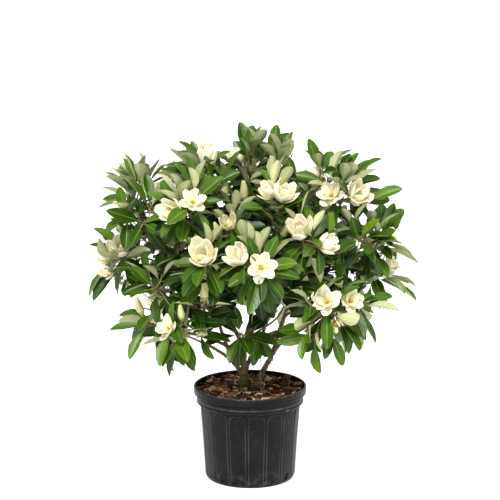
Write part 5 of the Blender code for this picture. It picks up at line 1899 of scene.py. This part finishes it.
cream = petal_finish("petal_cream", (0.840, 0.796, 0.605))
cream_warm = petal_finish("petal_warm", (0.820, 0.768, 0.520))
cream_base = petal_finish("petal_base", (0.820, 0.768, 0.420))
cone_green = petal_finish("flower_cone", (0.420, 0.420, 0.110))
stamen_gold = petal_finish("stamen_gold", (0.820, 0.560, 0.140))
calyx = petal_finish("flower_foot", (0.280, 0.300, 0.110))
bud_skin = petal_finish("bud_skin", (0.760, 0.745, 0.390))
bud_foot = petal_finish("bud_foot", (0.430, 0.480, 0.170))
spent_skin = petal_finish("spent_petal", (0.790, 0.725, 0.480), 0.66)
spent_base = petal_finish("spent_base", (0.650, 0.480, 0.220), 0.66)
fresh_finishes = (cream, cream_base, cone_green, stamen_gold, calyx, cream_warm)
flower_finishes = {
    "open": fresh_finishes,
    "half": fresh_finishes,
    "cup": fresh_finishes,
    "bud": (bud_skin, bud_foot, cone_green, stamen_gold, calyx, bud_skin),
    "spent": (spent_skin, spent_base, cone_green, stamen_gold, calyx, spent_skin),
}
blossom_finishes = [
    cream, cream_warm, cream_base, cone_green, stamen_gold, calyx, bud_skin, bud_foot, spent_skin, spent_base
]
blossom_bm = bmesh.new()
blossom_bm.loops.layers.uv.new("petal")
number = 0
for mass in masses.values():
    for stage, matrix in mass.flowers:
        number += 1
        mesh = flower_shape(stage, number)
        for polygon in mesh.polygons:
            finish = flower_finishes[stage][polygon.material_index]
            polygon.material_index = blossom_finishes.index(finish)
        spin = Matrix.Rotation(number * 1.9, 4, "Z")
        add_copy(blossom_bm, mesh, matrix @ spin, 0)
        bpy.data.meshes.remove(mesh)
blossom = made("blossom", blossom_bm, *blossom_finishes)
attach(blossom, "root")


# Studio: a pale floor with soft light from above and in front, and light all round, so that the shadows are
# faint and both sides of the crown are clear. None of it is part of the plant.
AMBIENT = 0.74
FLOOR_REACH = 30.0
floor_bm = bmesh.new()
bmesh.ops.create_grid(floor_bm, x_segments=1, y_segments=1, size=FLOOR_REACH)
floor = made("floor", floor_bm)
floor_finish, floor_shader, floor_place = new_finish(
    "floor_paper", Roughness=0.9, Specular_IOR_Level=0.1, Emission_Strength=0.55,
    Emission_Color=(1.0, 1.0, 1.0, 1.0)
)
feed(floor_shader, "Base Color", mixed(grain(floor_place, 3.0), (0.42, 0.42, 0.42), (0.44, 0.44, 0.44)))
floor.data.materials.append(floor_finish)

world = bpy.data.worlds.new("studio")
world.use_nodes = True
tree = world.node_tree
backdrop = tree.nodes["Background"]
backdrop.inputs["Color"].default_value = (1.0, 1.0, 1.0, 1.0)
seen = Signal(tree, None).add("ShaderNodeLightPath", {}, {}, "Is Camera Ray")
strength = seen * (1.0 - AMBIENT) + AMBIENT
tree.links.new(strength.socket, backdrop.inputs["Strength"])
bpy.context.scene.world = world


def sun(name, toward, strength, softness):
    """A soft, distant light that shines along a direction."""
    lamp = bpy.data.lights.new(name, "SUN")
    lamp.energy = strength
    lamp.angle = math.radians(softness)
    light = bpy.data.objects.new(name, lamp)
    light.rotation_euler = Vector(toward).to_track_quat("-Z", "Y").to_euler()
    bpy.context.scene.collection.objects.link(light)


sun("key", (0.24, 0.95, -1.00), 3.05, 22)
sun("fill", (-0.80, 0.50, -0.40), 0.7, 40)
sun("back", (-0.35, -0.90, -0.80), 1.2, 30)
bpy.context.scene.view_settings.view_transform = "Standard"
bpy.context.scene.view_settings.look = "Medium High Contrast"
